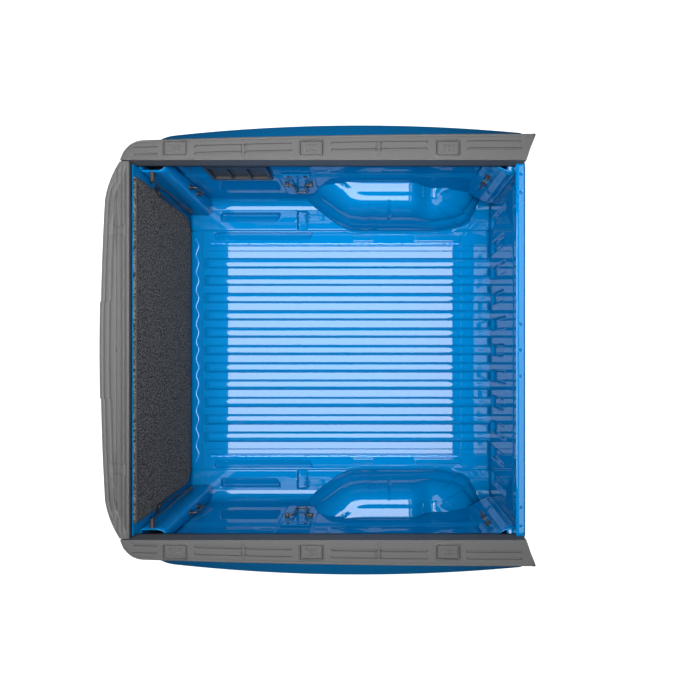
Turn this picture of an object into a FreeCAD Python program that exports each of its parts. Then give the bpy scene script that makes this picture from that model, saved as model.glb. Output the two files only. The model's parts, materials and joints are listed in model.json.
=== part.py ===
import FreeCAD
import Part
import math
import os

# Pickup cargo box with its liner set: rail caps, tailgate cap and tailgate mat. Millimetres.
# Frame: +X towards the cab, +Y to the left side, +Z up, origin under the middle of the box
# at the height of the bedsides' lower edges.

V = FreeCAD.Vector
os.makedirs("parts", exist_ok=True)

# driving dimensions
sheet = 2.0                 # panel thickness
floor_z = 230.0             # load floor above the bedsides' lower edges
cap_top = floor_z + 528.0
half_length = 822.0
half_width = 921.0
gap = 0.4                   # between neighbouring panels

floor_half = 590.0          # middle floor, between the wheelhouse feet
floor_rear = -699.0
bulkhead_x = 795.0          # inner face of the front panel
side_y = 741.0              # inner face of the side panel
rib_count, rib_pitch, rib_width = 11, 86.8, 55.0
rib_rise, rib_wall = 10.0, 6.0
rib_rear, rib_ramp = -633.0, 26.0
shelf_rise = 8.0            # side shelves above the floor

tub_height = 240.0          # wheelhouse above the floor
tub_front = ((410.0, 0.0), (470.0, 62.0), (640.0, 80.0))     # (x, how far its top has dropped by there)
arch_x, arch_z, arch_radius = 300.0, -150.0, 410.0

cap_inner_y = 714.0
cap_wall, cap_lip, cap_flange = 4.0, 22.0, 61.0
cap_outer_y, cap_front_in, cap_bow = 815.0, 788.0, 1.17e-5    # outer edge in plan, bowed in to the rear
cover_ledge = 1.5                                             # rim of the cap that a pocket cover rests on
cap_corner, cap_corner_radius = (-651.0, 701.0), 89.7    # round rear corner in plan
skin_under = 6.0            # the bedside's top edge lies this far inside the cap's edge
shoulder_x, shoulder_bow = 158.0, 7.2e-5     # widest point of the bedside, and its bow
header_x, header_hole_x = (757.0, 812.0), 775.0
sill_x = (-480.0, -180.0, 120.0, 620.0)
corner_start, corner_radius = -602.0, 160.0      # rear corner of the bedside
lamp_front, lamp_z = -690.0, (390.0, 660.0)
jamb_y = 712.0
side_lip_y = 852.0
rail_z = cap_top - 8.0      # top of the steel rail
rail_front = 780.0
pocket_x = (-531.5, -20.5, 492.5)
pocket_y = 757.5
pocket_size = (70.0, 38.0, 150.0)
cover_size = (81.0, 49.0, 4.0)

gate_x = -703.0             # inner face of the shut tailgate
gate_half = 709.0
gate_low, gate_high = 212.0, cap_top - 24.0
gate_rear = 816.0           # cap's rear edge on the centreline, behind the origin
gate_bow, gate_knee_y = 5.2e-5, 565.0    # its bow in plan, and where its ends turn in
hinge_x, hinge_z, hinge_radius = -738.0, 225.0, 8.0
fit = 0.05                  # running fit on pins
mat_thick, mat_gap = 16.0, 2.5

striker = (-742.0, 600.0)
claw_pivot = (-733.0, 580.0)
paddle_pivot = (-800.0, 640.0)

stay_top = (-655.0, floor_z + 455.0)     # stay's pivot on the post
stay_gate = (-690.0, floor_z + 330.0)    # its pivot on the gate, shut
stay_elbow = (-656.0, floor_z + 100.3)   # where its halves meet, shut
stay_upper_y, stay_lower_y = 665.0, 656.0
stay_rod = 3.5

loop_x, loop_y, loop_z = -114.0, 726.0, floor_z + 255.0
loop_half, loop_drop, loop_rod = 26.5, 85.0, 4.5
vent_x, vent_z = (-470.0, -217.0), (floor_z + 305.0, floor_z + 430.0)


def box(x0, x1, y0, y1, z0, z1):
    return Part.makeBox(x1 - x0, y1 - y0, z1 - z0, V(x0, y0, z0))


def rod(start, end, radius):
    along = V(*end) - V(*start)
    return Part.makeCylinder(radius, along.Length, V(*start), along)


def mirrored(shape):
    return shape.mirror(V(0, 0, 0), V(0, 1, 0))


def polygon(points):
    return Part.makePolygon(list(points) + [points[0]])


def prism(points, direction):
    """A straight block from a flat outline of vectors."""
    return Part.Face(polygon(points)).extrude(V(*direction))


def plan_prism(points, z0, z1):
    return prism([V(x, y, z0) for x, y in points], (0, 0, z1 - z0))


def side_prism(points, y0, y1):
    """A block along Y from an outline of (x, z) points."""
    return prism([V(x, y0, z) for x, z in points], (0, y1 - y0, 0))


def strip(points, thickness):
    """Closed outline of a folded sheet: the line and its copy moved to its left."""
    moved = []
    for i, (a, b) in enumerate(points):
        normals = []
        for j, k in ((i - 1, i), (i, i + 1)):
            if j >= 0 and k < len(points):
                da, db = points[k][0] - points[j][0], points[k][1] - points[j][1]
                length = math.hypot(da, db)
                normals.append((-db / length, da / length))
        na = sum(n[0] for n in normals) / len(normals)
        nb = sum(n[1] for n in normals) / len(normals)
        reach = thickness / (na * na + nb * nb)
        moved.append((a + na * reach, b + nb * reach))
    return list(points) + moved[::-1]


def loft(wires):
    return Part.makeLoft(wires, True, True)


def export(name, *shapes):
    solids = [s for shape in shapes for s in shape.Solids]
    for solid in solids:
        if not solid.isValid() or solid.Volume <= 0:
            print("check", name, solid.isValid(), solid.Volume)
    whole = solids[0] if len(solids) == 1 else Part.makeCompound(solids)
    whole.exportStep("parts/" + name + ".step")


def export_pair(name, *shapes):
    """The piece on the left side and its mirror image on the right."""
    export(name + "_left", *shapes)
    export(name + "_right", *[mirrored(s) for s in shapes])


# floor, sills and front
def rib(y, grow):
    """One raised rib of the floor, as a solid block that is grow smaller all round."""
    w, top = rib_width / 2 - grow, floor_z + rib_rise - grow
    base = floor_z - sheet - 1 if grow else floor_z - sheet / 2
    x0, x1 = rib_rear + grow, bulkhead_x - gap
    low = [V(x0, y - w, base), V(x1, y - w, base), V(x1, y + w, base), V(x0, y + w, base)]
    tw = w - rib_wall
    tx = x0 + rib_ramp
    high = [V(tx, y - tw, top), V(x1, y - tw, top), V(x1, y + tw, top), V(tx, y + tw, top)]
    return loft([polygon(low), polygon(high)])


def bed_floor():
    panel = box(floor_rear, bulkhead_x - gap, -floor_half, floor_half, floor_z - sheet, floor_z)
    centres = [(i - (rib_count - 1) / 2) * rib_pitch for i in range(rib_count)]
    for y in centres:
        panel = panel.fuse(rib(y, 0.0)).cut(rib(y, sheet))
    return panel


def cross_sill(x):
    """Top-hat member under the floor, with two bolt holes near its ends."""
    top, low = floor_z - sheet - gap, floor_z - 72.0
    hat = [(x - 52, top), (x - 34, top), (x - 28, low), (x + 28, low), (x + 34, top), (x + 52, top)]
    sill = side_prism(strip(hat, -3.0), -560, 560)
    for y in (-sill_bolt_y, sill_bolt_y):
        sill = sill.cut(rod((x, y, low - 10), (x, y, low + 10), sill_bolt_radius))
    return sill


sill_bolt_y, sill_bolt_radius = 480.0, 6.6


def rear_sill():
    top, low = floor_z - sheet - gap, floor_z - 92.0
    return box(floor_rear + 2, floor_rear + 62, -655, 655, low, top).cut(
        box(floor_rear + 5, floor_rear + 59, -656, 656, low + 3, top - 3))


def front_panel():
    """Front wall with upright pressed beads, open to the front."""
    z0, z1 = floor_z - 60.0, cap_top - 46.0
    wall = box(bulkhead_x, bulkhead_x + sheet, -side_y, side_y, z0, z1)
    for i in range(7):
        y = (i - 3) * 190.0
        wall = wall.fuse(box(bulkhead_x, bulkhead_x + 18, y - 45, y + 45, z0 + 90, z1 - 60))
        wall = wall.cut(box(bulkhead_x - 1, bulkhead_x + 16, y - 43, y + 43, z0 + 92, z1 - 62))
    return wall


header_holes = ((100.0, 3.4), (603.0, 3.4), (673.0, 3.4))


def front_header():
    """Box-section rail along the top of the front wall, with its accessory holes."""
    z1 = cap_top - 26.0
    z0 = z1 - 19.6
    header = box(header_x[0], header_x[1], -712, 712, z0, z1)
    header = header.cut(box(header_x[0] + sheet, header_x[1] - sheet, -713, 713, z0 + sheet, z1 - sheet))
    header = header.cut(rod((header_hole_x, 0, z1 - 5), (header_hole_x, 0, z1 + 5), 4.5))
    for y, radius in header_holes:
        for side in (1, -1):
            low, high = (header_hole_x, side * y, z1 - 5), (header_hole_x, side * y, z1 + 5)
            header = header.cut(rod(low, high, radius))
    return header


# wheelhouses and sides
def tub(inset):
    """The wheelhouse body; with an inset, the hollow under it, open below and outboard."""
    out = side_y - gap + (2.0 if inset else 0.0)
    z0 = floor_z + 0.4 - (2.0 if inset else 0.0)
    foot = [(-118 + inset, out), (78 + inset, 593 + inset), (605 - inset, 593 + inset),
            (694 - inset, 647 + inset), (742 - inset, out)]
    top = [(5 + inset, out), (35 + inset, 642 + inset), (470 - inset, 642 + inset),
           (560 - inset, 672 + inset), (600 - inset, out)]
    z1 = floor_z + tub_height - inset
    body = loft([polygon([V(x, y, z0) for x, y in foot]), polygon([V(x, y, z1) for x, y in top])])
    over = [(x, z1 - drop) for x, drop in tub_front] + [(800, z1 - tub_front[-1][1]), (800, z1 + 10)]
    return body.cut(side_prism(over + [(tub_front[0][0], z1 + 10)], 500, 900))


def wheelhouse():
    return tub(0.0).cut(tub(sheet))


def wheel_arch():
    """Half-round inner fender from the side panel out to the bedside."""
    y0, y1 = side_y + sheet + gap, side_lip_y
    outer = rod((arch_x, y0, arch_z), (arch_x, y1, arch_z), arch_radius + 12 + sheet)
    inner = rod((arch_x, y0 - 1, arch_z), (arch_x, y1 + 1, arch_z), arch_radius + 12)
    return outer.cut(inner).common(box(-300, 900, 0, 1000, 40, 900))


def side_panel():
    """Flat side wall, cut out over the wheelhouse."""
    x0, x1 = -586.0, bulkhead_x - gap
    y0, y1 = side_y, side_y + sheet
    wall = box(x0, x1, y0, y1, floor_z + shelf_rise + gap, cap_top - 60)
    notch = [(-118, floor_z), (5, floor_z + tub_height)]
    notch += [(x, floor_z + tub_height - drop) for x, drop in tub_front] + [(742, floor_z)]
    wall = wall.cut(side_prism(notch, y0 - 1, y1 + 1))
    return wall


def top_rail():
    """Folded steel rail over the side panel, pierced over the stake pockets."""
    y0 = cap_inner_y + cap_wall + gap
    section = [(side_y + sheet + 1, cap_top - 60), (y0, cap_top - 60), (y0, rail_z), (782, rail_z)]
    outline = [V(cap_corner[0], y, z) for y, z in strip(section, -sheet)]
    rail = Part.Face(polygon(outline)).extrude(V(rail_front - cap_corner[0], 0, 0))
    for x in pocket_x:
        rail = rail.cut(box(x - 36, x + 36, pocket_y - 20, pocket_y + 20, rail_z - 6, rail_z + 2))
    return rail


def stake_pocket(x):
    w, d, h = pocket_size
    top = rail_z - sheet - gap
    y0, y1 = pocket_y - d / 2 + 6, pocket_y + d / 2
    tube = box(x - w / 2 - sheet, x + w / 2 + sheet, y0, y1 + sheet, top - h, top)
    return tube.cut(box(x - w / 2, x + w / 2, y0 + sheet, y1, top - h - 1, top + 1))


def side_shelf(front):
    """Raised floor beside the wheelhouse, behind or ahead of it."""
    z0, z1 = floor_z + shelf_rise - sheet, floor_z + shelf_rise
    if front:
        x1 = bulkhead_x - gap
        points = [(617, 592), (x1, 592), (x1, side_y + sheet), (757, side_y + sheet), (704, 641)]
    else:
        points = [(floor_rear, 592), (64, 592), (-135, side_y + sheet), (floor_rear, side_y + sheet)]
    step = box(points[0][0], points[1][0] - (0 if front else 12), 590.4, 592.4, floor_z, z1)
    return plan_prism(points, z0, z1).fuse(step)


def rear_post():
    """Hollow corner post beside the tailgate, leaning outwards towards the rail."""
    z0, z1 = floor_z + shelf_rise + gap, cap_top - 60 - sheet - gap

    def ring(inset, z, inner, front):
        return polygon([V(-699 + inset, inner + inset, z), V(front - 18 - inset, inner + inset, z),
                        V(front - inset, inner + 18 + inset, z), V(front - inset, side_y - gap - inset, z),
                        V(-699 + inset, side_y - gap - inset, z)])
    outer = loft([ring(0, z0, 671, -588), ring(0, z1, 700, -600)])
    inner = loft([ring(sheet, z0 + sheet, 671, -588), ring(sheet, z1 - sheet, 700, -600)])
    return outer.cut(inner)


def rear_jamb():
    """Flat jamb outboard of the gate's end, with the hinge cup in it."""
    jamb = box(-766, -700, jamb_y, jamb_y + 4, gate_low, cap_top - 60 - sheet - gap)
    cup = rod((hinge_x, jamb_y, hinge_z), (hinge_x, jamb_y + 16, hinge_z), 16.0)
    cup = cup.common(box(-800, -600, 0, 900, gate_low, 900))
    hole = rod((hinge_x, jamb_y - 1, hinge_z), (hinge_x, jamb_y + 13, hinge_z), hinge_radius + fit)
    return jamb.fuse(cup).cut(hole)




def front_corner():
    line = [(646, 737.6), (722, 686), (bulkhead_x - gap, 674)]
    return plan_prism(strip(line, sheet), floor_z + tub_height + 4, cap_top - 62)


# bedside skin
def cap_edge_y(x):
    """Outer edge of the rail cap in plan."""
    return cap_outer_y - cap_bow * (x - cap_front_in) ** 2


def shoulder_y(x):
    """Widest line of the bedside in plan."""
    return half_width - shoulder_bow * (x - shoulder_x) ** 2


def side_sections():
    """Bedside skin as (plan point, outward normal) from the front to the end of the rear corner."""
    stations = []
    for x in (812.0, 600.0, 300.0, 0.0, -300.0, corner_start):
        slope = 2 * shoulder_bow * (shoulder_x - x)
        angle = math.atan(slope)
        stations.append(((x, shoulder_y(x)), (-math.sin(angle), math.cos(angle))))
    (x, y), (nx, ny) = stations[-1]
    radius = corner_radius
    cx, cy, start = x - nx * radius, y - ny * radius, math.atan2(-nx, ny)
    for i in range(1, 5):
        angle = start + (math.pi / 2 - start) * i / 4
        nx, ny = -math.sin(angle), math.cos(angle)
        stations.append(((cx + nx * radius, cy + ny * radius), (nx, ny)))
    return stations


# (below the rail, inset from the shoulder) down the skin
skin_profile = ((12.0, 0.0), (150.0, 0.0), (330.0, 10.0), (520.0, 14.0), (758.0, 40.0))


def skin_ring(station):
    """Section of the skin: it runs up under the rail cap's edge and tucks in at the bottom."""
    (x, y), (nx, ny) = station
    rail_inset = (y - cap_edge_y(x) + skin_under) / max(ny, 0.1)
    if x - nx * rail_inset < cap_corner[0]:
        wx, wy = x - cap_corner[0], y - cap_corner[1]
        along = wx * nx + wy * ny
        across = wx * wx + wy * wy - along * along
        rail_inset = along - math.sqrt((cap_corner_radius - skin_under) ** 2 - across)
    points = [(rail_inset, 12.0), (rail_inset - 1, 30.0), (0.64 * rail_inset, 112.0)]
    points += [(inset, down) for down, inset in skin_profile[1:]]
    outline = strip([(inset, cap_top - down) for inset, down in points], sheet)
    return polygon([V(x - nx * u, y - ny * u, z) for u, z in outline])


def outer_side():
    skin = loft([skin_ring(station) for station in side_sections()])
    arch = rod((arch_x, 600, arch_z), (arch_x, 1000, arch_z), arch_radius)
    lamp = box(-900, lamp_front, 600, 1000, lamp_z[0], lamp_z[1])
    hinge = box(-800, -700, 600, jamb_y + 18, 0, hinge_z + 18)
    return skin.cut(arch).cut(lamp).cut(hinge)


def tail_lamp():
    """Lens block that fills the opening in the bedside's rear corner."""
    corner = side_sections()[6:]
    points = [(x - nx * 10, y - ny * 10) for (x, y), (nx, ny) in corner]
    back = [(x - nx * 24, y - ny * 24) for (x, y), (nx, ny) in corner[::-1]]
    return plan_prism(points + back, lamp_z[0] + 3, lamp_z[1] - 3).common(
        box(-900, lamp_front - 3, 600, 1000, lamp_z[0], lamp_z[1]))


# rail caps and covers
def cap_face(inset, z):
    """Plan of the left rail cap: slanted front end, round rear corner."""
    inner = cap_inner_y + inset
    a, b = V(cap_front_in - inset, inner, z), V(half_length - inset * 1.3, cap_outer_y - inset, z)
    side = V(100, cap_edge_y(100) - inset, z)
    cx, cy, radius = cap_corner[0], cap_corner[1], cap_corner_radius - inset
    c, e = V(cx, cy + radius, z), V(cx - math.sqrt(radius ** 2 - (inner - cy) ** 2), inner, z)
    mid = V(cx - radius * math.sqrt(0.5), cy + radius * math.sqrt(0.5), z)
    arcs = [Part.Arc(b, side, c).toShape(), Part.Arc(c, mid, e).toShape()]
    return Part.Face(Part.Wire([Part.makeLine(a, b)] + arcs + [Part.makeLine(e, a)]))


def rail_cap():
    cap = cap_face(0, cap_top - cap_lip).extrude(V(0, 0, cap_lip))
    cap = cap.cut(cap_face(cap_wall, cap_top - cap_lip - 1).extrude(V(0, 0, cap_lip + 1 - cap_wall)))
    flange = box(-690, 756, cap_inner_y, cap_inner_y + cap_wall, cap_top - cap_flange, cap_top - cap_wall)
    cap = cap.fuse(flange)
    half_x, half_y = cover_size[0] / 2 - cover_ledge, cover_size[1] / 2 - cover_ledge
    for x in pocket_x:
        cap = cap.cut(box(x - half_x, x + half_x, pocket_y - half_y, pocket_y + half_y,
                          cap_top - cap_wall - 1, cap_top + 1))
    return cap


def pocket_cover(x):
    """Lift-off cover of a stake pocket: a plate with a hollow skirt."""
    w, d, h = cover_size
    plate = box(x - w / 2, x + w / 2, pocket_y - d / 2, pocket_y + d / 2, cap_top + 0.3, cap_top + h)
    y0, y1 = pocket_y - 9.0, pocket_y + 17.0
    skirt = box(x - 32, x + 32, y0, y1, cap_top - 16, cap_top + 1)
    hollow = box(x - 30, x + 30, y0 + 2, y1 - 2, cap_top - 17, cap_top - 1)
    return plate.fuse(skirt).cut(hollow)


# tailgate
def gate_line(offset, y_end, z):
    """Edges of the gate's bowed rear line, moved outwards by offset."""
    def at(y):
        a = abs(y)
        x = -gate_rear - offset + gate_bow * a * a
        return V(x, y, z)
    turn = min(gate_knee_y, y_end - 40)
    end_x = -745.0 - offset * 0.7
    tip, knee = V(end_x, y_end, z), at(turn)
    mid = V((tip.x + knee.x) / 2 - 6, (tip.y + knee.y) / 2 + 6, z)

    def flip(p):
        return V(p.x, -p.y, p.z)
    edges = [Part.Arc(flip(tip), flip(mid), flip(knee)).toShape(),
             Part.Arc(flip(knee), at(0), knee).toShape(), Part.Arc(knee, mid, tip).toShape()]
    return edges, flip(tip), tip


def gate_slab(offset, y_end, front, z0, z1):
    edges, right, left = gate_line(offset, y_end, z0)
    a, b = V(front, left.y, z0), V(front, right.y, z0)
    edges += [Part.makeLine(left, a), Part.makeLine(a, b), Part.makeLine(b, right)]
    return Part.Face(Part.Wire(edges)).extrude(V(0, 0, z1 - z0))


pan_x = -735.0              # where the gate's two pressings meet
cup_half, cup_z = 120.0, (612.0, 676.0)


def gate_outer():
    shell = gate_slab(-6, gate_half, pan_x - gap, gate_low, gate_high)
    hollow = gate_slab(-6 - sheet, gate_half - sheet, pan_x + 5, gate_low + sheet, gate_high - sheet)
    shell = shell.cut(hollow)
    shell = shell.cut(box(-900, -795, -cup_half, cup_half, cup_z[0], cup_z[1]))
    return shell.cut(side_notches(striker[0] - 12, pan_x + 5)).cut(hinge_holes())


def hinge_holes():
    """Room for the hinge pins in both ends of the gate."""
    cuts = [rod((hinge_x, y - 26, hinge_z), (hinge_x, y + 26, hinge_z), hinge_radius + gap)
            for y in (-gate_half, gate_half)]
    return Part.makeCompound(cuts)


def side_notches(x0, x1):
    """Room for the strikers in both ends of the gate."""
    cuts = [box(x0, x1, s - 22, s + 22, striker[1] - 12, striker[1] + 12) for s in (-gate_half, gate_half)]
    return Part.makeCompound(cuts)


def gate_inner():
    pan = box(pan_x, gate_x, -gate_half, gate_half, gate_low, gate_high)
    pan = pan.cut(box(pan_x - 1, gate_x - sheet, -gate_half + sheet, gate_half - sheet,
                      gate_low + sheet, gate_high - sheet))
    return pan.cut(side_notches(pan_x - 5, gate_x + 5)).cut(hinge_holes())


def gate_cap():
    """Cap along the top of the tailgate."""
    z0 = cap_top - cap_lip
    cap = gate_slab(0, gate_half, -711, z0, cap_top)
    cap = cap.cut(gate_slab(-cap_wall, gate_half - cap_wall, -711 - cap_wall, z0 - 1, cap_top - cap_wall))
    step = gate_slab(4, gate_half, -712, cap_top - 9, cap_top - 2)
    step = step.cut(gate_slab(-2, gate_half + 2, -711, cap_top - 10, cap_top - 1))
    return cap.fuse(step.common(box(-900, -780, -182, 182, 0, 900)))


def gate_mat():
    """Mat on the gate's inner face: its lower corners are round and it narrows beside the stays."""
    x, top, low = gate_x + mat_gap, floor_z + 508.0, floor_z + 34.0
    wide, narrow, turn = 658.0, 646.0, 70.0
    left = [V(x, wide, top), V(x, wide, 600), V(x, narrow, 585), V(x, narrow, low + turn)]
    mid, end = V(x, narrow - turn * 0.293, low + turn * 0.293), V(x, narrow - turn, low)

    def flip(p):
        return V(p.x, -p.y, p.z)
    edges = [Part.makeLine(a, b) for a, b in zip(left, left[1:])]
    edges += [Part.Arc(left[-1], mid, end).toShape(), Part.makeLine(end, flip(end)),
              Part.Arc(flip(end), flip(mid), flip(left[-1])).toShape()]
    edges += [Part.makeLine(flip(b), flip(a)) for a, b in list(zip(left, left[1:]))[::-1]]
    edges.append(Part.makeLine(flip(left[0]), left[0]))
    return Part.Face(Part.Wire(edges)).extrude(V(mat_thick, 0, 0))


def mat_fasteners():
    x0, x1 = gate_x + 0.05, gate_x + mat_gap - 0.05
    ys, zs = (-520, -260, 0, 260, 520), (300, 480, 690)
    return [box(x0, x1, y - 40, y + 40, z - 12, z + 12) for y in ys for z in zs]


def gate_closer():
    """Bar along the top of the gate that the cap is screwed to."""
    return box(-780, -716, -600, 600, gate_high + 0.3, cap_top - cap_wall - 0.3)


def handle_cup():
    cup = box(-808, -772, -cup_half + gap, cup_half - gap, cup_z[0] + gap, cup_z[1] - gap)
    return cup.cut(box(-820, -775, -cup_half + 4, cup_half - 4, cup_z[0] + 4, cup_z[1] - 4))


def paddle():
    """Pull-out handle that turns on a pin along Y near its upper edge."""
    x, z = paddle_pivot
    plate = box(x - 7, x - 3, -104, 104, cup_z[0] + 8, z + 18)
    hub = rod((x, -104, z), (x, 104, z), 5.0)
    web = box(x - 5, x, -50, 50, z - 4, z + 4)
    return plate.fuse(hub).fuse(web).cut(rod((x, -105, z), (x, 105, z), 3.0 + fit))


def paddle_pin():
    x, z = paddle_pivot
    return rod((x, -cup_half + 4, z), (x, cup_half - 4, z), 3.0)


def latch_plate():
    """Latch plate inside the gate's end, with the pin that the claw turns on."""
    x, z = claw_pivot
    return box(-750, -708, 684, 687, 560, 624).fuse(rod((x, 686, z), (x, 699, z), 4.0))


def latch_claw():
    """Claw that stands in front of the striker and tips forwards on the plate's pin."""
    x, z = claw_pivot
    y0, y1 = 690.0, 697.0
    hub = rod((x, y0, z), (x, y1, z), 8.0)
    arm = side_prism([(x - 3.5, z), (x + 5, z), (x + 4, z + 24), (x - 3.5, z + 24)], y0, y1)
    return hub.fuse(arm).cut(rod((x, y0 - 1, z), (x, y1 + 1, z), 4.0 + fit))


def striker_pin():
    x, z = striker
    base = box(x - 14, x + 14, jamb_y - 2.4, jamb_y, z - 16, z + 16)
    return base.fuse(rod((x, jamb_y - 1, z), (x, 688.6, z), 4.5))


def latch_rod():
    """Release rod from behind the handle cup to the latch plate."""
    return rod((-748, 60, 608), (-748, 683.6, 608), 3.0)


def hinge_pin():
    return rod((hinge_x, gate_half - 20, hinge_z), (hinge_x, jamb_y + 12, hinge_z), hinge_radius)


# folding stays
def bar_between(a, b, y, radius):
    """Rod from a to b in the upright plane y, with an eye at each end."""
    bar = rod((a[0], y, a[1]), (b[0], y, b[1]), radius)
    for x, z in (a, b):
        bar = bar.fuse(rod((x, y - radius, z), (x, y + radius, z), 8.0))
    return bar


def stay_upper():
    x, z = stay_top
    return bar_between(stay_top, stay_elbow, stay_upper_y, stay_rod).cut(
        rod((x, 640, z), (x, 700, z), 4.0 + fit))


def stay_lower():
    x, z = stay_gate
    return bar_between(stay_gate, stay_elbow, stay_lower_y, stay_rod).cut(
        rod((x, 640, z), (x, 700, z), 4.0 + fit))


def stay_stud_post():
    x, z = stay_top
    return rod((x, 698, z), (x, 660, z), 4.0).fuse(rod((x, 669, z), (x, 698.4, z), 9.0))


def stay_stud_gate():
    x, z = stay_gate
    foot = box(gate_x + gap, gate_x + 2.6, 652, 690, z - 16, z + 16)
    arm = box(gate_x + 2, x + 6, 661, 667, z - 9, z + 9)
    return foot.fuse(arm).fuse(rod((x, 650.5, z), (x, 665, z), 4.0))


# tie-downs and vent
def bent_rod(points, radius, rod_radius):
    """A round bar along points with its corners bent."""
    edges, start = [], points[0]
    for previous, corner, following in zip(points, points[1:], points[2:]):
        a, b = (previous - corner).normalize(), (following - corner).normalize()
        half = a.getAngle(b) / 2
        p, q = corner + a * (radius / math.tan(half)), corner + b * (radius / math.tan(half))
        middle = corner + (a + b).normalize() * (radius / math.sin(half) - radius)
        edges += [Part.makeLine(start, p), Part.Arc(p, middle, q).toShape()]
        start = q
    edges.append(Part.makeLine(start, points[-1]))
    ring = Part.Wire(Part.makeCircle(rod_radius, points[0], points[1] - points[0]))
    return Part.Wire(edges).makePipeShell([ring], True, False)


def tie_hook(base, out):
    """Fixed upright staple with two round feet."""
    base, out = V(*base), V(*out).normalize()
    up = V(0, 0, 38)
    bar = bent_rod([base - up, base - up + out * 30, base + up + out * 30, base + up], 12.0, 4.5)
    return bar.fuse([Part.makeCylinder(13.0, 4.0, base + s, out) for s in (up, up * -1)])


rear_hook = ((-591.6, 716.0, floor_z + 215.0), (1, 0, 0))
front_hook = ((684.0, 711.4, floor_z + 345.0), (-0.562, -0.827, 0.0))


def loop_bracket():
    """Plate on the side wall with the two saddles that the loop turns in."""
    solid = box(loop_x - 62, loop_x + 62, side_y - 5, side_y - gap, loop_z - 16, loop_z + 83)
    for x in (loop_x - 52, loop_x + 52):
        solid = solid.fuse(box(x - 9, x + 9, loop_y - 9, side_y - 4, loop_z - 9, loop_z + 9))
    return solid.cut(rod((loop_x - 80, loop_y, loop_z), (loop_x + 80, loop_y, loop_z), loop_rod + fit))


def tie_loop():
    y, z = loop_y, loop_z
    w, end = loop_half, 60.0
    points = [V(loop_x - end, y, z), V(loop_x - w, y, z), V(loop_x - w, y, z - loop_drop),
              V(loop_x + w, y, z - loop_drop), V(loop_x + w, y, z), V(loop_x + end, y, z)]
    return bent_rod(points, 10.0, loop_rod)


def side_vent():
    """Vent frame on the left side wall, with three cells."""
    (x0, x1), (z0, z1) = vent_x, vent_z
    frame = box(x0, x1, side_y - 14, side_y - gap, z0, z1)
    cell = (x1 - x0 - 16) / 3
    for i in range(3):
        x = x0 + 8 + i * cell
        frame = frame.cut(box(x + 4, x + cell - 4, side_y - 15, side_y - 3, z0 + 12, z1 - 12))
    return frame


export("bed_floor", bed_floor())
export("cross_sills", *[cross_sill(x) for x in sill_x])
export("rear_sill", rear_sill())
export("front_panel", front_panel())
export("front_header", front_header())
export_pair("wheelhouse", wheelhouse())
export_pair("wheel_arch", wheel_arch())
export_pair("side_panel", side_panel())
export_pair("top_rail", top_rail())
pockets = [stake_pocket(x) for x in pocket_x]
export("stake_pockets", *pockets, *[mirrored(p) for p in pockets])
export_pair("side_shelf", side_shelf(False), side_shelf(True))
export_pair("rear_post", rear_post())
export("rear_jambs", rear_jamb(), mirrored(rear_jamb()))
export_pair("front_corner", front_corner())
export_pair("outer_side", outer_side())
export_pair("tail_lamp", tail_lamp())
export_pair("rail_cap", rail_cap())
for number, x in enumerate(pocket_x, 1):
    export_pair("pocket_cover_%d" % number, pocket_cover(x))
export("tailgate_outer", gate_outer())
export("tailgate_inner", gate_inner())
export("tailgate_closer", gate_closer())
export("tailgate_cap", gate_cap())
export("tailgate_mat", gate_mat())
export("mat_fasteners", *mat_fasteners())
export("handle_cup", handle_cup())
export("handle_pin", paddle_pin())
export("tailgate_handle", paddle())
export("latch_plates", latch_plate(), mirrored(latch_plate()))
export_pair("latch_claw", latch_claw())
export("latch_rods", latch_rod(), mirrored(latch_rod()))
export("strikers", striker_pin(), mirrored(striker_pin()))
export("hinge_pins", hinge_pin(), mirrored(hinge_pin()))
export_pair("stay_upper", stay_upper())
export_pair("stay_lower", stay_lower())
export("stay_studs_post", stay_stud_post(), mirrored(stay_stud_post()))
export("stay_studs_gate", stay_stud_gate(), mirrored(stay_stud_gate()))
corner_hooks = [tie_hook(*rear_hook), tie_hook(*front_hook)]
export("corner_hooks", *corner_hooks, *[mirrored(h) for h in corner_hooks])
export("loop_brackets", loop_bracket(), mirrored(loop_bracket()))
export_pair("tie_loop", tie_loop())
export("side_vent", side_vent())
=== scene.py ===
import bpy
import bmesh
import json
import math
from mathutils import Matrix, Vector, noise

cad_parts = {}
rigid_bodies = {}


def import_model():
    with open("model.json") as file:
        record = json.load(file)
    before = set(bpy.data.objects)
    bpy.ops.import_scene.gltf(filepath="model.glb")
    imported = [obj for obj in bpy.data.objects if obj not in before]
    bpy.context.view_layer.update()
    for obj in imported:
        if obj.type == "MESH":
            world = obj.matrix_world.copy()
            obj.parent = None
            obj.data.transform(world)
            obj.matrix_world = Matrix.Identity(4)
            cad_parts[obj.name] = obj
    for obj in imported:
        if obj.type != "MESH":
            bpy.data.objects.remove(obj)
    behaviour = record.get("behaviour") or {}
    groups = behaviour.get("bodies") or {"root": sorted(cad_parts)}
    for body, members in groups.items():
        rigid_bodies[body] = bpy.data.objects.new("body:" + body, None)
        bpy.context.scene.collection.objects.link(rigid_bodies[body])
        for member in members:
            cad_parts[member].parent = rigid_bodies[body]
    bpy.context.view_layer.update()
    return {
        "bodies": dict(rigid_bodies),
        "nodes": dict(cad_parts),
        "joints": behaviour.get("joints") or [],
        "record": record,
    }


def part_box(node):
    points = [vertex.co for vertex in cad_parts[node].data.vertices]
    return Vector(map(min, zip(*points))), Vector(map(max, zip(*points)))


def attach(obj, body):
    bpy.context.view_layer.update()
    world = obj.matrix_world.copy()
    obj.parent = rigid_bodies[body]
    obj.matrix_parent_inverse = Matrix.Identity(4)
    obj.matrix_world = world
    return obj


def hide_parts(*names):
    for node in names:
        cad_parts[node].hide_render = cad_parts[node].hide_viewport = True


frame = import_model()
print("frame loaded")

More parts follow.
